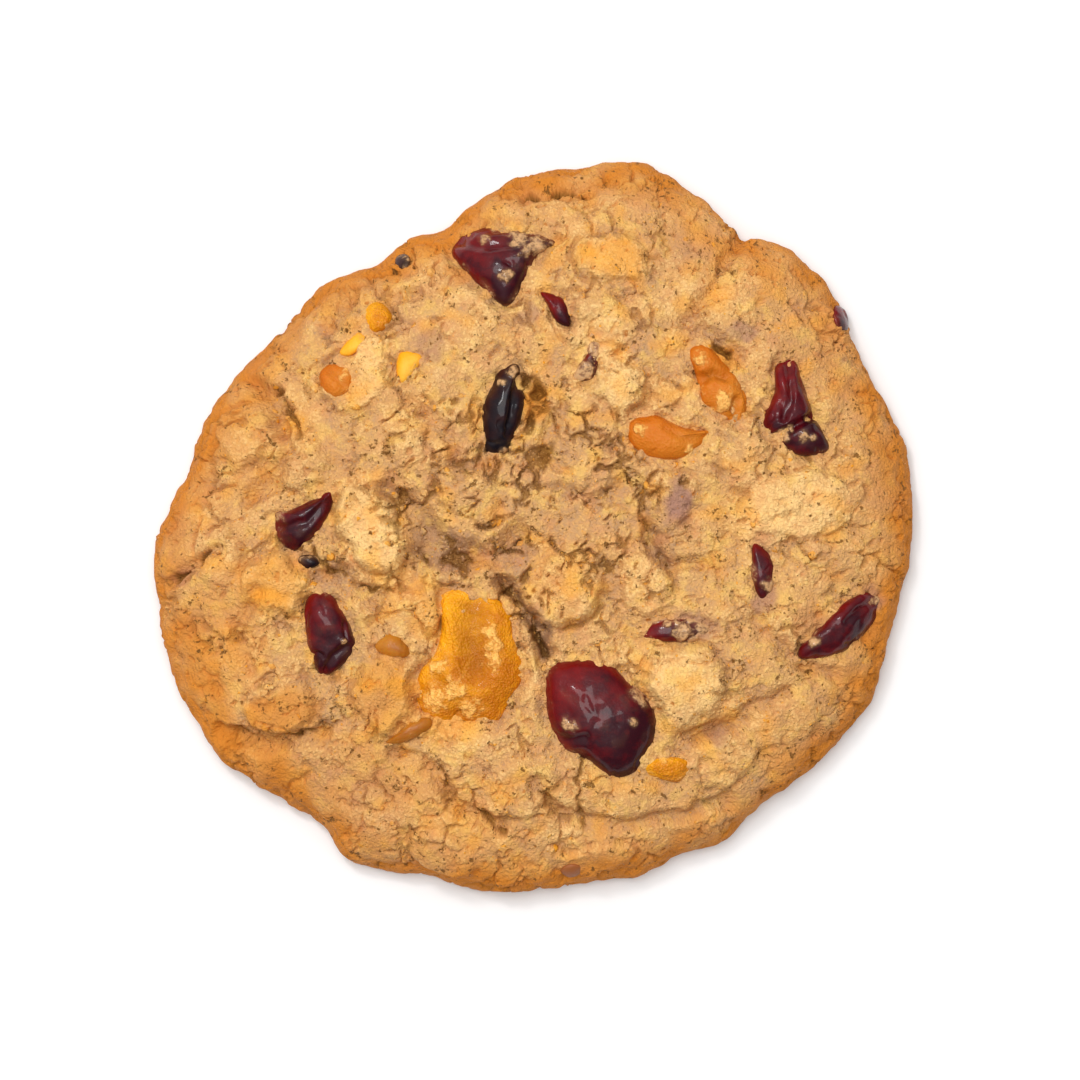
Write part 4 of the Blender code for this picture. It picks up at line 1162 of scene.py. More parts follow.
def dough_skin(look):
    """The dough's skin on a square grid with twice skin_steps steps each way.

    Gives its points, their outward directions, and the shares that colour them. Points of
    body_form are pushed along their normals by the coarse and fine relief; bare of both, the
    last ring lies on the floor.
    """
    steps = 2 * look.skin_steps
    line = np.linspace(-1, 1, steps + 1)
    v, u = np.meshgrid(line, line, indexing="ij")
    smooth = body_form(u.ravel(), v.ravel())
    normals = vertex_normals(smooth, grid_triangles(steps, steps))
    raised, crag_place = coarse_relief(smooth)
    raised = bedded_relief(raised, smooth)
    raised, flat = flake_relief(raised, smooth)
    calm = calm_share(smooth)
    crumb, eaten = fine_relief(smooth, crag_place)
    grain = look.crumb_height * (0.85 + 0.15 * calm) * (1 - 0.5 * flat)
    torn = ragged(ragged(smooth, 2.0, 0.8), 0.9, 0.5)
    broken = smooth_step(-0.35, 0.15, smooth_noise(smooth / 1.8, 43))
    splits = valley_relief(torn[:, 0], torn[:, 1], SPLITS) * (0.3 + 0.7 * broken)
    eaten = eaten * (0.8 + 0.2 * calm) * (1 - 0.6 * flat)
    over_rim = smooth_step(RIM_HEIGHT, RIM_HEIGHT + SIDE_RELIEF_HEIGHT, smooth[:, 2])
    deep = np.maximum(eaten, splits)
    raised = raised + crumb * grain - deep
    raised *= SIDE_RELIEF_SHARE + (1 - SIDE_RELIEF_SHARE) * over_rim
    lobes = smooth_noise(smooth / 3.4, 44) + 0.5 * smooth_noise(smooth / 1.4, 45)
    by_rim = smooth_step(0.8, 1.0, crown_share(smooth[:, 0], smooth[:, 1]))
    raised += RIM_LOBE_HEIGHT * lobes * by_rim
    grounded = smooth_step(0, RIM_HEIGHT, smooth[:, 2])
    points = smooth + normals * (raised * grounded)[:, None]
    colours = dough_colours(smooth, raised, deep, flat, steps)
    colours["crumb_place"] = np.column_stack([smooth * MM, np.ones(len(smooth))])
    return points, normals, colours


def blurred(values, steps, reach):
    """Values on the square grid averaged over a window of 2 * reach + 1 each way, twice."""
    grid = values.reshape(steps + 1, steps + 1)
    for _ in range(2):
        for axis in (0, 1):
            padding = [(reach + 1, reach) if axis == side else (0, 0) for side in (0, 1)]
            summed = np.cumsum(np.pad(grid, padding, mode="edge"), axis=axis)
            high = np.take(summed, np.arange(2 * reach + 1, summed.shape[axis]), axis=axis)
            low = np.take(summed, np.arange(0, summed.shape[axis] - 2 * reach - 1), axis=axis)
            grid = (high - low) / (2 * reach + 1)
    return grid.ravel()


def dough_colours(smooth, raised, deep, flat, steps):
    """Two painted sets: baking (tone, with painted light on raised crumb and painted shade below it;
    toast; painted shade in the hollows) and tints (orange, purple).
    """
    x, y = smooth[:, 0], smooth[:, 1]
    near = raised - blurred(raised, steps, 8)
    wide = raised - blurred(raised, steps, 28)
    # Painted light and shade: the tone is paler where the relief stands above its surroundings and
    # darker where it lies below them. The noise after it is random tone.
    tone = 0.5 + 0.12 * np.tanh(near * 2.0) + 0.1 * np.tanh(wide * 0.9)
    tone += 0.15 * smooth_noise(smooth / 7.0, 61) + 0.16 * smooth_noise(smooth / 2.4, 62)
    tone += 0.04 * flat
    share = crown_share(x, y)
    side = 1 - smooth_step(3.0, 7.0, smooth[:, 2])
    # Painted shade: darker near the rim, where the top turns down away from the light.
    tone -= 0.1 * smooth_step(0.87, 0.97, share)
    edge = smooth_step(0.85, 1.0, share)
    toast = 0.6 * side + 0.55 * edge + 0.14 * smooth_step(0.6, 0.95, share)
    uneven = smooth_noise(smooth / 3.4, 63) + smooth_noise(smooth / 9.0, 66)
    toast += 0.7 * uneven * (0.1 + edge)
    orange = 0.4 * smooth_step(0.05, 0.6, smooth_noise(smooth / 2.8, 64))
    purple = 0.1 * smooth_step(0.2, 0.55, smooth_noise(smooth / 4.2, 65))
    torn_x, torn_y = ragged(smooth, 2.4, 1.1)[:, :2].T
    for middle_x, middle_y, length, width, turn, paler, more_toast, more_orange, more_purple in TINTS:
        oval, _ = oval_share(torn_x, torn_y, middle_x, middle_y, length, width, turn)
        on_patch = 1 - smooth_step(0.5, 1.2, oval)
        tone += paler * on_patch
        toast += more_toast * on_patch
        orange += more_orange * on_patch
        purple += more_purple * on_patch
    # Painted shade: darker in the holes, crevices and splits, and a little in the low places of the
    # relief.
    hollow_shade = 0.85 * smooth_step(0.3, 0.9, deep) + 0.1 * smooth_step(0.4, 1.8, -wide)
    zeros, ones = np.zeros(len(x)), np.ones(len(x))
    baking = np.stack([tone, toast, hollow_shade, ones], axis=1)
    tints = np.stack([orange, purple, zeros, ones], axis=1)
    return {"baking": np.clip(baking, 0, 1), "tints": np.clip(tints, 0, 1)}


def ring_of(steps):
    """Grid numbers round the edge of the square grid, anticlockwise seen from above."""
    row = steps + 1
    bottom = np.arange(steps)
    right = steps + row * np.arange(steps)
    top = row * steps + steps - np.arange(steps)
    left = row * (steps - np.arange(steps))
    return np.concatenate([bottom, right, top, left])


def underside(edge, first_number):
    """Rings of points on the floor that close the underside inside an edge of points.

    They shrink towards the middle, and some have half the points of the last one. Also gives the
    numbers of the points of each two rings to join, None for the edge, and the next free number.
    """
    shares = (0.985, 0.965, 0.94, 0.905, 0.86, 0.8, 0.72, 0.63, 0.53, 0.42, 0.31, 0.2, 0.1)
    halved = (0.985, 0.905, 0.63, 0.2)
    rings, joins = [], []
    outer = np.asarray(edge)
    outer_numbers = None
    number = first_number
    for share in shares:
        count = len(outer) // 2 if share in halved else len(outer)
        inner = edge_ring(edge, count) * (share, share, 1.0)
        numbers = number + np.arange(len(inner))
        number += len(inner)
        joins.append((outer_numbers, numbers))
        rings.append(inner)
        outer, outer_numbers = inner, numbers
    return rings, joins, number


def underside_colours(below):
    """The painted sets of the underside, which is evenly browned."""
    zeros, ones = np.zeros(len(below)), np.ones(len(below))
    tone = 0.42 + 0.25 * smooth_noise(below / 5.0, 72)
    toast = np.clip(0.72 + 0.3 * smooth_noise(below / 9.0, 73), 0, 1)
    return {
        "baking": np.stack([tone, toast, zeros, ones], axis=1),
        "tints": np.tile((0.1, 0.0, 0.0, 1.0), (len(below), 1)),
        "crumb_place": np.column_stack([below * MM, ones]),
    }


def edge_ring(edge, count):
    """Every so many points of the edge, so that count are left, laid on the floor."""
    kept = edge[:: len(edge) // count].copy()
    kept[:, 2] = 0.0
    return kept


def ring_join(outer, inner):
    """Triangles that close the gap to an inner ring with as many points or half as many."""
    after = np.roll(inner, -1)
    if len(outer) == len(inner):
        outer_after = np.roll(outer, -1)
        first = np.stack([outer, inner, after], axis=1)
        second = np.stack([outer, after, outer_after], axis=1)
        return np.concatenate([first, second])
    start, middle = outer[::2], outer[1::2]
    end = np.roll(start, -1)
    return np.concatenate([
        np.stack([start, inner, middle], axis=1),
        np.stack([middle, inner, after], axis=1),
        np.stack([middle, after, end], axis=1),
    ])


def bake_dough(look):
    """The dough: a closed body whose skin is the raised grid's every second point, and on it the
    four pieces of its finer crust and the loose crumbs."""
    points, normals, colours = dough_skin(look)
    points = np.clip(points, *CAD_BOX_MM)
    steps = 2 * look.skin_steps
    share = np.abs(np.linspace(-1, 1, steps + 1))
    share = np.maximum(share[:, None], share[None, :]).ravel()
    material = dough_material(look)

    numbers = np.arange(len(points)).reshape(steps + 1, steps + 1)
    kept = numbers[::2, ::2].ravel()
    dip = CRUST_DIP * (1 - smooth_step(CRUST_DIPS, CRUST_ENDS, share[kept]))
    body = points[kept] - normals[kept] * dip[:, None]
    edge_numbers = ring_of(look.skin_steps)
    body[edge_numbers, 2] = 0.0
    rings, joins, number = underside(body[edge_numbers], len(body))
    faces = [grid_triangles(look.skin_steps, look.skin_steps)]
    for outer, inner in joins:
        faces.append(ring_join(edge_numbers if outer is None else outer, inner))
    last = joins[-1][1]
    middle = np.array([[0.0, 0.0, 0.0]])
    faces.append(np.stack([last, np.full(len(last), number), np.roll(last, -1)], axis=1))
    below = np.concatenate(rings + [middle])
    inward = BASE_RADIUS - np.hypot(below[:, 0], below[:, 1])
    bumps = 1 + smooth_noise(below / 3.0, 71)
    below[:, 2] += BASE_BUMP_HEIGHT * bumps * smooth_step(0.3, 3.0, inward)
    all_colours = {name: np.concatenate([colours[name][kept], values])
                   for name, values in underside_colours(below).items()}
    all_points = np.concatenate([body, below])
    piece = piece_from("dough_skin", all_points, np.concatenate(faces), material, all_colours)
    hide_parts("dough")

    dip = CRUST_DIP * smooth_step(CRUST_DIPS, CRUST_ENDS, share)
    crust = points - normals * dip[:, None]
    first = round((1 - CRUST_ENDS) * steps / 2)
    parts = ((first, steps // 2), (steps // 2, steps - first))
    for index, (rows, columns) in enumerate(itertools.product(parts, repeat=2)):
        block = numbers[rows[0]:rows[1] + 1, columns[0]:columns[1] + 1]
        lay_crust("crust_" + "abcd"[index], crust, colours, block, material)
    triangles = grid_triangles(steps, steps)
    for kind in CRUMB_KINDS:
        scatter_crumbs(kind, points, triangles, colours, material)


def lay_crust(name, points, colours, block, material):
    """One closed square piece of the finer crust, with a flat underside inside the dough."""
    side = len(block) - 1
    count = block.size
    edge = ring_of(side)
    top = points[block.ravel()]
    foot = top[edge].copy()
    foot[:, 2] = CRUST_UNDERSIDE
    middle = foot.mean(axis=0)[None]
    feet = count + np.arange(len(edge))
    faces = [grid_triangles(side, side), ring_join(edge, feet),
             np.stack([feet, np.full(len(feet), count + len(feet)), np.roll(feet, -1)], axis=1)]
    painted_on = {
        key: np.concatenate([values[block.ravel()], values[block.ravel()[edge]],
                             values[block.ravel()[:1]]])
        for key, values in colours.items()
    }
    piece = piece_from(name, np.concatenate([top, foot, middle]), np.concatenate(faces), material,
                       painted_on)
    ends = np.empty(2 * len(piece.data.edges), np.int32)
    piece.data.edges.foreach_get("vertices", ends)
    on_edge = np.zeros(count + len(feet) + 1, bool)
    on_edge[edge] = True
    sharp = piece.data.attributes.new("sharp_edge", "BOOLEAN", "EDGE")
    sharp.data.foreach_set("value", on_edge[ends.reshape(-1, 2)].all(axis=1))


def scatter_crumbs(kind, points, triangles, colours, material):
    """Crumb grains of one kind, each partly sunk into the dough skin, as one piece.

    Each is an icosahedron with its corners drawn in and out, squashed and turned by three
    random unit directions. More of them lie in the hollows, and few on the smooth rim.
    """
    random = np.random.default_rng(kind.seed)
    a, b, c = (points[triangles[:, corner]] for corner in range(3))
    normal = np.cross(b - a, c - a)
    area = np.linalg.norm(normal, axis=1) / 2
    normal /= np.maximum(2 * area, 1e-12)[:, None]
    middle = (a + b + c) / 3
    tone, toast, hollow_shade = colours["baking"][triangles].mean(axis=1).T[:3]
    clumped = smooth_step(-0.2, 0.35, smooth_noise(middle / 4.5, kind.seed + 3))
    wanted = area * (kind.on_top + hollow_shade * kind.in_hollows) * (0.35 + 0.65 * clumped)
    wanted *= 1 - smooth_step(0.3, 0.8, toast)
    wanted *= smooth_step(2.5, 4.5, middle[:, 2]) * (normal[:, 2] > 0.2)
    picked = random.choice(len(area), kind.count, p=wanted / wanted.sum())
    share = random.dirichlet((1, 1, 1), kind.count)[:, :, None]
    corners = triangles[picked]
    at = (points[corners] * share).sum(axis=1)
    low, high = kind.radius
    radius = low * (high / low) ** (random.random(kind.count) ** kind.rarity)
    solid, faces = icosahedron()
    shape = solid[None] * random.uniform(0.75, 1.2, (kind.count, len(solid), 1))
    shape *= random.uniform(0.6, 1.25, (kind.count, 1, 3))
    turn = np.linalg.qr(random.normal(size=(kind.count, 3, 3)))[0]
    turn *= np.linalg.det(turn)[:, None, None]
    shape = np.einsum("nij,nkj->nki", turn, shape) * radius[:, None, None]
    shape[:, :, 2] *= kind.flatness
    at = at - normal[picked] * (radius * kind.sunk)[:, None]
    grains = (at[:, None] + shape).reshape(-1, 3)
    numbers = faces[None] + (np.arange(kind.count) * len(solid))[:, None, None]
    baking, tints = (
        np.repeat((colours[name][corners] * share).sum(axis=1), len(solid), axis=0)
        for name in ("baking", "tints")
    )
    baking[:, 0] += np.repeat(random.normal(kind.paler, 0.13, kind.count), len(solid))
    # The painted shade of the hollows is halved on the crumbs.
    baking[:, 2] *= 0.45
    tints[:, 0] += np.repeat(random.random(kind.count) ** 6, len(solid)) * 0.8
    crumb_place = np.column_stack([grains * MM, np.ones(len(grains))])
    painted_on = {"baking": np.clip(baking, 0, 1), "tints": np.clip(tints, 0, 1),
                  "crumb_place": crumb_place}
    grains = np.clip(grains, *CAD_BOX_MM)
    piece = piece_from(kind.name, grains, numbers.reshape(-1, 3), material, painted_on)


def icosahedron():
    """Corners and outward faces of a regular solid with 20 sides and radius 1."""
    golden = (1 + math.sqrt(5)) / 2
    corners = []
    for first, second in itertools.product((-1, 1), (-golden, golden)):
        corners += [(0, first, second), (first, second, 0), (second, 0, first)]
    corners = np.array(corners) / math.hypot(1, golden)
    faces = []
    for three in itertools.combinations(range(12), 3):
        a, b, c = corners[list(three)]
        if max(math.dist(a, b), math.dist(b, c), math.dist(c, a)) < 1.2:
            outward = np.dot(np.cross(b - a, c - a), a) > 0
            faces.append(three if outward else three[::-1])
    return corners, np.array(faces)


# Fruits and nuts

def inclusion_surface(item, around, up):
    """Points and triangles of a closed fruit: a sphere drawn out to its outline in plan.

    Latitude phi lies cos(phi)^0.8 of the way to the outline and sin(phi) of the half thickness
    above or below its middle, which follows the crown.
    """
    turns = np.arange(around) / around
    latitude = np.linspace(-math.pi / 2, math.pi / 2, up + 1)[1:-1]
    edge = closed_curve(item.outline, turns)
    level = np.cos(latitude) ** 0.8
    plan = np.array(item.centre) + edge[None] * level[:, None, None]
    plan = np.concatenate([[item.centre], plan.reshape(-1, 2), [item.centre]])
    lift = np.concatenate([[-1], np.repeat(np.sin(latitude), around), [1]])
    half = item.thickness / 2
    z = crown_height(plan[:, 0], plan[:, 1]) + item.rise - half + lift * half
    first = 1 + np.arange(around)
    after = np.roll(first, -1)
    bands = []
    for band in range(up - 2):
        low, low_after = first + band * around, after + band * around
        bands.append(np.stack([low, low_after, low_after + around], axis=1))
        bands.append(np.stack([low, low_after + around, low + around], axis=1))
    last = first + (up - 2) * around
    bands.append(np.stack([np.zeros(around, int), after, first], axis=1))
    bands.append(np.stack([last, np.roll(last, -1), np.full(around, len(plan) - 1)], axis=1))
    return np.column_stack([plan, z]), np.concatenate(bands), lift


def set_inclusion(item, material, detail):
    """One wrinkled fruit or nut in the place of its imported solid."""
    size = np.ptp(np.array(item.outline), axis=0).max()
    around = int(np.clip(size * FRUIT_CORNERS_PER_MM * detail, FEWEST_FRUIT_CORNERS,
                         MOST_FRUIT_CORNERS))
    up = int(around * 0.6)
    smooth, triangles, lift = inclusion_surface(item, around, up)
    normals = vertex_normals(smooth, triangles)
    c, s = math.cos(math.radians(item.run)), math.sin(math.radians(item.run))
    local = smooth - (*item.centre, 0.0)
    along = local[:, 0] * c + local[:, 1] * s
    across = local[:, 1] * c - local[:, 0] * s
    seed = sum(map(ord, item.name)) % 97
    drawn = np.stack([along / 5.0, across / 3.0, smooth[:, 2] / 5.0], axis=1)
    drawn += 0.25 * np.stack([smooth_noise(local / 2.4, seed + k) for k in range(3)], axis=1)
    crease = 1 - smooth_step(0, 0.13, np.abs(smooth_noise(drawn, seed + 5)))
    creased = smooth_step(0.0, 0.3, smooth_noise(local / 2.6, seed + 6))
    sunk = item.wrinkle * (0.8 * crease * creased - smooth_noise(local / 3.6, seed + 7))
    sunk -= 0.4 * item.wrinkle * smooth_noise(local / 1.4, seed + 12)
    sunk *= 0.25 + 0.75 * smooth_step(0.0, 0.6, lift)
    grooved = valley_relief(local[:, 0], local[:, 1], item.grooves) * smooth_step(0.0, 0.5, lift)
    points = smooth - normals * (sunk + grooved)[:, None]
    outside = outside_distance(item, smooth[:, 0], smooth[:, 1])
    clinging = smooth_step(-0.1, 0.4, smooth_noise(local / 1.9, seed + 8))
    dust = item.dust * smooth_step(-1.2, -0.1, outside) * clinging
    for x, y, radius in item.smears:
        away = np.hypot(local[:, 0] - x, local[:, 1] - y) / radius
        away = away + 0.7 * smooth_noise(local / 0.9, seed + 9)
        dust = np.maximum(dust, 0.8 * (1 - smooth_step(0.3, 1.4, away)))
    dust = dust + 0.12 * smooth_step(0.2, 0.6, smooth_noise(local / 1.7, seed + 10))
    # Painted light: the fruit is brighter towards the upper left, which faces the lights, and towards
    # its thin edge, where light glows through. The noise is random tone.
    lit = (local[:, 1] - local[:, 0]) / size
    lit_and_thin = 0.45 * smooth_step(-1.6, 0.2, outside) + 0.9 * lit + 0.25
    lit_and_thin += 0.4 * smooth_noise(local / 3.2, seed + 11)
    # Painted shade in the creases and grooves, by how deep they are sunk.
    deep = np.clip((sunk + grooved) / 1.2, 0, 1)
    points += normals * (0.18 * smooth_step(0.4, 0.8, dust))[:, None]
    skin = np.clip(np.stack([dust, lit_and_thin, deep, np.ones(len(points))], axis=1), 0, 1)
    piece = piece_from(item.name + "_skin", points, triangles, material, {"skin": skin})
    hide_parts(item.name)


def set_inclusions(finish, material, detail):
    """Every inclusion of one finish."""
    for item in INCLUSIONS:
        if item.finish == finish:
            set_inclusion(item, material, detail)


# What a user may change

def colour_setting(name, description, default):
    """A colour property in linear light."""
    return bpy.props.FloatVectorProperty(
        name=name, description=description, default=default, size=3, min=0, max=1,
        subtype="COLOR",
    )


class CookieDoughSettings(bpy.types.PropertyGroup):
    """Fineness, crumb and colours of the dough."""

    skin_steps: bpy.props.IntProperty(
        name="Skin steps", description="Grid steps across the skin, half the crust's; eights only",
        default=304, min=80, max=304,
    )
    crumb_height: bpy.props.FloatProperty(
        name="Crumb height", description="Height of the fine crumb against its usual one",
        default=1.0, min=0, max=2, subtype="FACTOR",
    )
    grain_size: bpy.props.FloatProperty(
        name="Grain size", description="Size of the finest grain in millimetres",
        default=0.42, min=0.1, max=3,
    )
    grain_bump: bpy.props.FloatProperty(
        name="Grain bump", description="Strength of the finest grain's bumps",
        default=0.75, min=0, max=1, subtype="FACTOR",
    )
    grain_contrast: bpy.props.FloatProperty(
        name="Grain contrast", description="How much the finest grain changes the crumb's tone",
        default=1.7, min=0, max=4,
    )
    # The tone ramp from brown to pale holds painted light on the tops of the lumps and painted shade
    # low down, as well as random tone.
    pale_colour: colour_setting("Pale crumb", "Tops of the lumps", (0.90, 0.57, 0.225))
    dough_colour: colour_setting("Crumb", "Most of the crumb", (0.655, 0.345, 0.118))
    brown_colour: colour_setting("Brown crumb", "Low crumb", (0.48, 0.27, 0.13))
    # Colour of the painted shade in the cracks and hollows.
    hollow_shade_colour: colour_setting("Hollows", "Crumb down in the cracks", (0.24, 0.10, 0.010))
    toast_colour: colour_setting("Toasted rim", "Browned edge and sides", (0.60, 0.20, 0.018))
    oat_colour: colour_setting("Oats", "Yellowish oat bits in the crumb", (0.86, 0.53, 0.13))
    warm_colour: colour_setting("Warm crumb", "Pinkish brown crumb", (0.66, 0.28, 0.12))
    orange_colour: colour_setting("Orange tint", "Crumb coloured by apricot", (0.86, 0.35, 0.02))
    stain_colour: colour_setting("Berry stain", "Crumb coloured by berries", (0.33, 0.16, 0.13))
    # Colour of the painted shade in the pores and pits.
    pore_shade_colour: colour_setting("Pores", "Inside of the pores", (0.19, 0.075, 0.010))
    speck_colour: colour_setting("Specks", "Toasted bran specks", (0.48, 0.16, 0.025))


class CookieFruitSettings(bpy.types.PropertyGroup):
    """Fineness and colours of the fruits and nuts."""

    detail: bpy.props.FloatProperty(
        name="Detail", description="Fineness of the fruits' surfaces against the usual one",
        default=1.0, min=0.2, max=2, subtype="FACTOR",
    )
    dust_colour: colour_setting("Dough dust", "Dough that clings to the fruit", (0.58, 0.33, 0.15))
    # Each fruit's edge colour is painted light, laid on its thin edge and on its upper left side.
    cranberry_deep: colour_setting("Cranberry", "Body of a cranberry", (0.032, 0.002, 0.006))
    cranberry_bright: colour_setting("Cranberry edge", "Its thin edge", (0.165, 0.003, 0.004))
    raisin_deep: colour_setting("Raisin", "Body of a raisin", (0.008, 0.005, 0.008))
    raisin_bright: colour_setting("Raisin edge", "Thin edge of a raisin", (0.04, 0.008, 0.006))
    apricot_deep: colour_setting("Apricot", "Moist amber flesh", (0.54, 0.155, 0.001))
    apricot_bright: colour_setting("Apricot edge", "Bright thin flesh", (0.90, 0.37, 0.006))
    apricot_crust: colour_setting("Apricot dust", "Flour on the apricot", (0.96, 0.50, 0.12))
    peel_colour: colour_setting("Peel", "Candied peel", (0.92, 0.45, 0.045))
    nut_deep: colour_setting("Nut", "Toasted nut", (0.60, 0.18, 0.012))
    nut_bright: colour_setting("Nut edge", "Browner edge of a nut", (0.56, 0.13, 0.003))
    nut_crust: colour_setting("Nut dust", "Pale dust on the nuts", (0.90, 0.47, 0.12))
    golden_deep: colour_setting("Golden raisin", "Body of a golden raisin", (0.34, 0.10, 0.008))
    golden_bright: colour_setting("Golden raisin edge", "Its thin edge", (0.50, 0.18, 0.012))
    seed_colour: colour_setting("Seed", "Toasted seed", (0.30, 0.09, 0.02))


class CookieStageSettings(bpy.types.PropertyGroup):
    """Floor, lights and camera."""

    floor_colour: colour_setting("Floor", "Plain pale floor", (0.86, 0.86, 0.86))
    overhead_power: bpy.props.FloatProperty(
        name="Overhead light", description="Power of the large soft light over the cookie in watts",
        default=4.2, min=0,
    )
    side_power: bpy.props.FloatProperty(
        name="Side light", description="Power of the soft light at the upper left in watts",
        default=1.7, min=0,
    )
    sky_strength: bpy.props.FloatProperty(
        name="Sky", description="Strength of the sky's light from overhead", default=1.15, min=0,
    )
    sky_low: bpy.props.FloatProperty(
        name="Low sky", description="Strength of the sky's light near the floor",
        default=0.2, min=0,
    )
    camera_height: bpy.props.FloatProperty(
        name="Camera height", description="Height of the camera over the floor",
        default=0.75, min=0.2, max=5, unit="LENGTH",
    )
    view_width: bpy.props.FloatProperty(
        name="View width", description="Width of the floor that the camera sees at the rim's height",
        default=0.12521, min=0.05, max=1, unit="LENGTH",
    )
    view_centre: bpy.props.FloatVectorProperty(
        name="View centre", description="Place that the camera looks straight down on",
        default=(0.00064, -0.00157), size=2, unit="LENGTH",
    )


# Operators

class BakeDough(bpy.types.Operator):
    """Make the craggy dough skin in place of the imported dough."""

    bl_idname = "cookie.bake_dough"
    bl_label = "Bake dough"

    def execute(self, context):
        bake_dough(context.scene.cookie_dough)
        return {"FINISHED"}


class SetCranberries(bpy.types.Operator):
    """Make the dark red wrinkled cranberries."""

    bl_idname = "cookie.set_cranberries"
    bl_label = "Set cranberries"

    def execute(self, context):
        look = context.scene.cookie_fruit
        material = fruit_material(
            "cranberry", look.cranberry_deep, look.cranberry_bright, look.dust_colour,
            roughness=0.3, subsurface=0.05, gloss=0.08, coat=0.3,
        )
        set_inclusions("cranberry", material, look.detail)
        return {"FINISHED"}


class SetRaisins(bpy.types.Operator):
    """Make the near-black raisins and the amber golden raisins."""

    bl_idname = "cookie.set_raisins"
    bl_label = "Set raisins"

    def execute(self, context):
        look = context.scene.cookie_fruit
        dark = fruit_material(
            "raisin", look.raisin_deep, look.raisin_bright, look.dust_colour,
            roughness=0.3, subsurface=0.0, gloss=0.04, coat=0.22,
        )
        set_inclusions("raisin", dark, look.detail)
        golden = fruit_material(
            "golden_raisin", look.golden_deep, look.golden_bright, look.dust_colour,
            roughness=0.35, subsurface=0.2, gloss=0.15, coat=0.1,
        )
        set_inclusions("golden_raisin", golden, look.detail)
        return {"FINISHED"}


class SetApricots(bpy.types.Operator):
    """Make the orange apricot pieces and the yellow peel."""

    bl_idname = "cookie.set_apricots"
    bl_label = "Set apricots and peel"

    def execute(self, context):
        look = context.scene.cookie_fruit
        apricot = fruit_material(
            "apricot", look.apricot_deep, look.apricot_bright, look.apricot_crust,
            roughness=0.42, subsurface=0.1, gloss=0.2, coat=0.05, glitter=2.0,
        )
        set_inclusions("apricot", apricot, look.detail)
        peel = fruit_material(
            "peel", look.peel_colour, look.apricot_bright, look.dust_colour,
            roughness=0.5, subsurface=0.1, gloss=0.2,
        )
        set_inclusions("peel", peel, look.detail)
        return {"FINISHED"}


class SetNuts(bpy.types.Operator):
    """Make the toasted nuts and the brown seed."""

    bl_idname = "cookie.set_nuts"
    bl_label = "Set nuts and seed"

    def execute(self, context):
        look = context.scene.cookie_fruit
        nut = fruit_material(
            "nut", look.nut_deep, look.nut_bright, look.nut_crust,
            roughness=0.5, subsurface=0.08, gloss=0.2, glitter=1.0,
        )
        set_inclusions("nut", nut, look.detail)
        seed = fruit_material(
            "seed", look.seed_colour, look.seed_colour, look.dust_colour,
            roughness=0.5, subsurface=0.0, gloss=0.3,
        )
        set_inclusions("seed", seed, look.detail)
        return {"FINISHED"}


def soft_light(name, power, size, place_at):
    """A square area light that faces the middle of the cookie's underside."""
    data = bpy.data.lights.new(name, "AREA")
    data.energy = power
    data.size = size
    light = bpy.data.objects.new(name, data)
    light.location = place_at
    x, y, z = place_at
    light.rotation_euler = (math.atan2(math.hypot(x, y), z), 0, math.atan2(x, -y))
    bpy.context.scene.collection.objects.link(light)


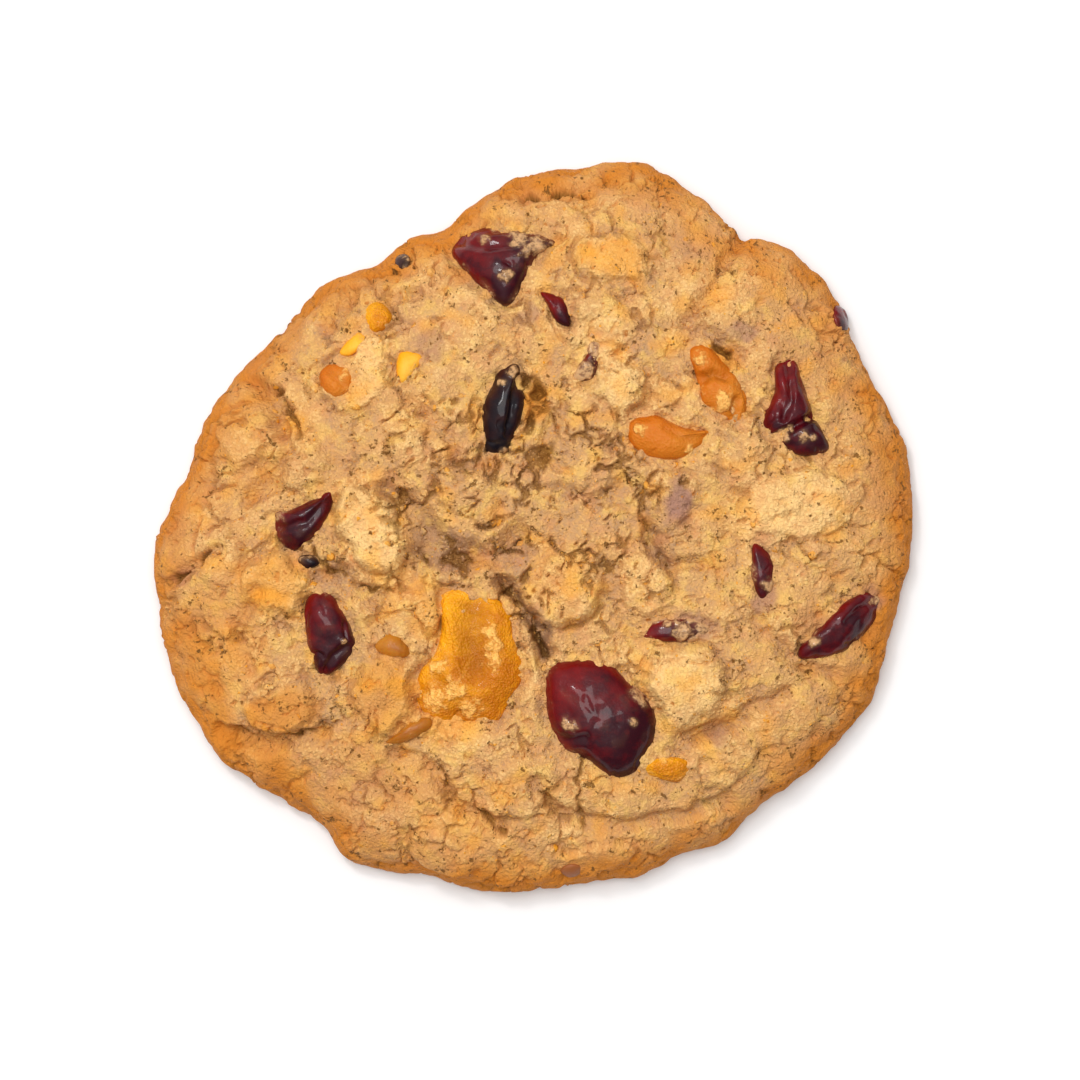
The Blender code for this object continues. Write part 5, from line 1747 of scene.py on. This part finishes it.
class LayStage(bpy.types.Operator):
    """Lay the pale floor, and set the soft lights and the camera over it."""

    bl_idname = "cookie.lay_stage"
    bl_label = "Lay stage"

    def execute(self, context):
        look = context.scene.cookie_stage
        scene = context.scene
        mesh = bpy.data.meshes.new("floor")
        far = FLOOR_HALF_WIDTH
        corners = [(-far, -far, 0), (far, -far, 0), (far, far, 0), (-far, far, 0)]
        mesh.from_pydata(corners, [], [(0, 1, 2, 3)])
        material, tree, shader, _ = new_material("floor")
        shader.inputs["Base Color"].default_value = rgba(look.floor_colour)
        shader.inputs["Roughness"].default_value = 0.9
        shader.inputs["Specular IOR Level"].default_value = 0.1
        mesh.materials.append(material)
        floor = bpy.data.objects.new("floor", mesh)
        scene.collection.objects.link(floor)

        soft_light("overhead", look.overhead_power, OVERHEAD_SIZE, OVERHEAD_PLACE)
        soft_light("upper_left", look.side_power, SIDE_LIGHT_SIZE, SIDE_LIGHT_PLACE)
        world = bpy.data.worlds.new("even_sky")
        world.use_nodes = True
        sky = world.node_tree.nodes["Background"]
        sky.inputs["Color"].default_value = (1, 1, 1, 1)
        toward = place(world.node_tree, "ShaderNodeTexCoord", (-800, 0)).outputs["Generated"]
        facing = place(world.node_tree, "ShaderNodeVectorMath", (-600, 0),
                       {0: toward, 1: BRIGHTEST_SKY}, operation="DOT_PRODUCT").outputs["Value"]
        strength = stepped(world.node_tree, (-400, 0), facing, 0.1, 1.0,
                           look.sky_low, look.sky_strength)
        world.node_tree.links.new(strength, sky.inputs["Strength"])
        scene.world = world

        lens = bpy.data.cameras.new("camera")
        lens.sensor_width = SENSOR_WIDTH_MM
        to_rim = look.camera_height - RIM_HEIGHT * MM
        lens.lens = SENSOR_WIDTH_MM * to_rim / look.view_width
        lens.clip_start, lens.clip_end = 0.01, 10
        camera = bpy.data.objects.new("camera", lens)
        camera.location = (*look.view_centre, look.camera_height)
        scene.collection.objects.link(camera)
        scene.camera = camera
        scene.view_settings.view_transform = "Standard"
        return {"FINISHED"}


STEPS = (BakeDough, SetCranberries, SetRaisins, SetApricots, SetNuts, LayStage)


class CookiePanel(bpy.types.Panel):
    """The cookie's steps, and what may be changed before each one."""

    bl_idname = "VIEW3D_PT_breakfast_cookie"
    bl_label = "Breakfast cookie"
    bl_space_type = "VIEW_3D"
    bl_region_type = "UI"
    bl_category = "Cookie"

    def draw(self, context):
        for title, settings in (("Dough", context.scene.cookie_dough),
                                ("Fruit", context.scene.cookie_fruit),
                                ("Stage", context.scene.cookie_stage)):
            box = self.layout.box()
            box.label(text=title)
            for name in settings.__annotations__:
                box.prop(settings, name)
        for step in STEPS:
            self.layout.operator(step.bl_idname)


CLASSES = (CookieDoughSettings, CookieFruitSettings, CookieStageSettings, *STEPS, CookiePanel)


def register():
    """Adds the add-on's classes, and its settings to the scene."""
    for made in CLASSES:
        bpy.utils.register_class(made)
    bpy.types.Scene.cookie_dough = bpy.props.PointerProperty(type=CookieDoughSettings)
    bpy.types.Scene.cookie_fruit = bpy.props.PointerProperty(type=CookieFruitSettings)
    bpy.types.Scene.cookie_stage = bpy.props.PointerProperty(type=CookieStageSettings)


def unregister():
    """Takes away what register added."""
    del bpy.types.Scene.cookie_stage
    del bpy.types.Scene.cookie_fruit
    del bpy.types.Scene.cookie_dough
    for made in reversed(CLASSES):
        bpy.utils.unregister_class(made)


def main():
    """Builds the cookie and its stage."""
    register()
    bpy.ops.cookie.bake_dough()
    bpy.ops.cookie.set_cranberries()
    bpy.ops.cookie.set_raisins()
    bpy.ops.cookie.set_apricots()
    bpy.ops.cookie.set_nuts()
    bpy.ops.cookie.lay_stage()


if __name__ == "__main__":
    main()
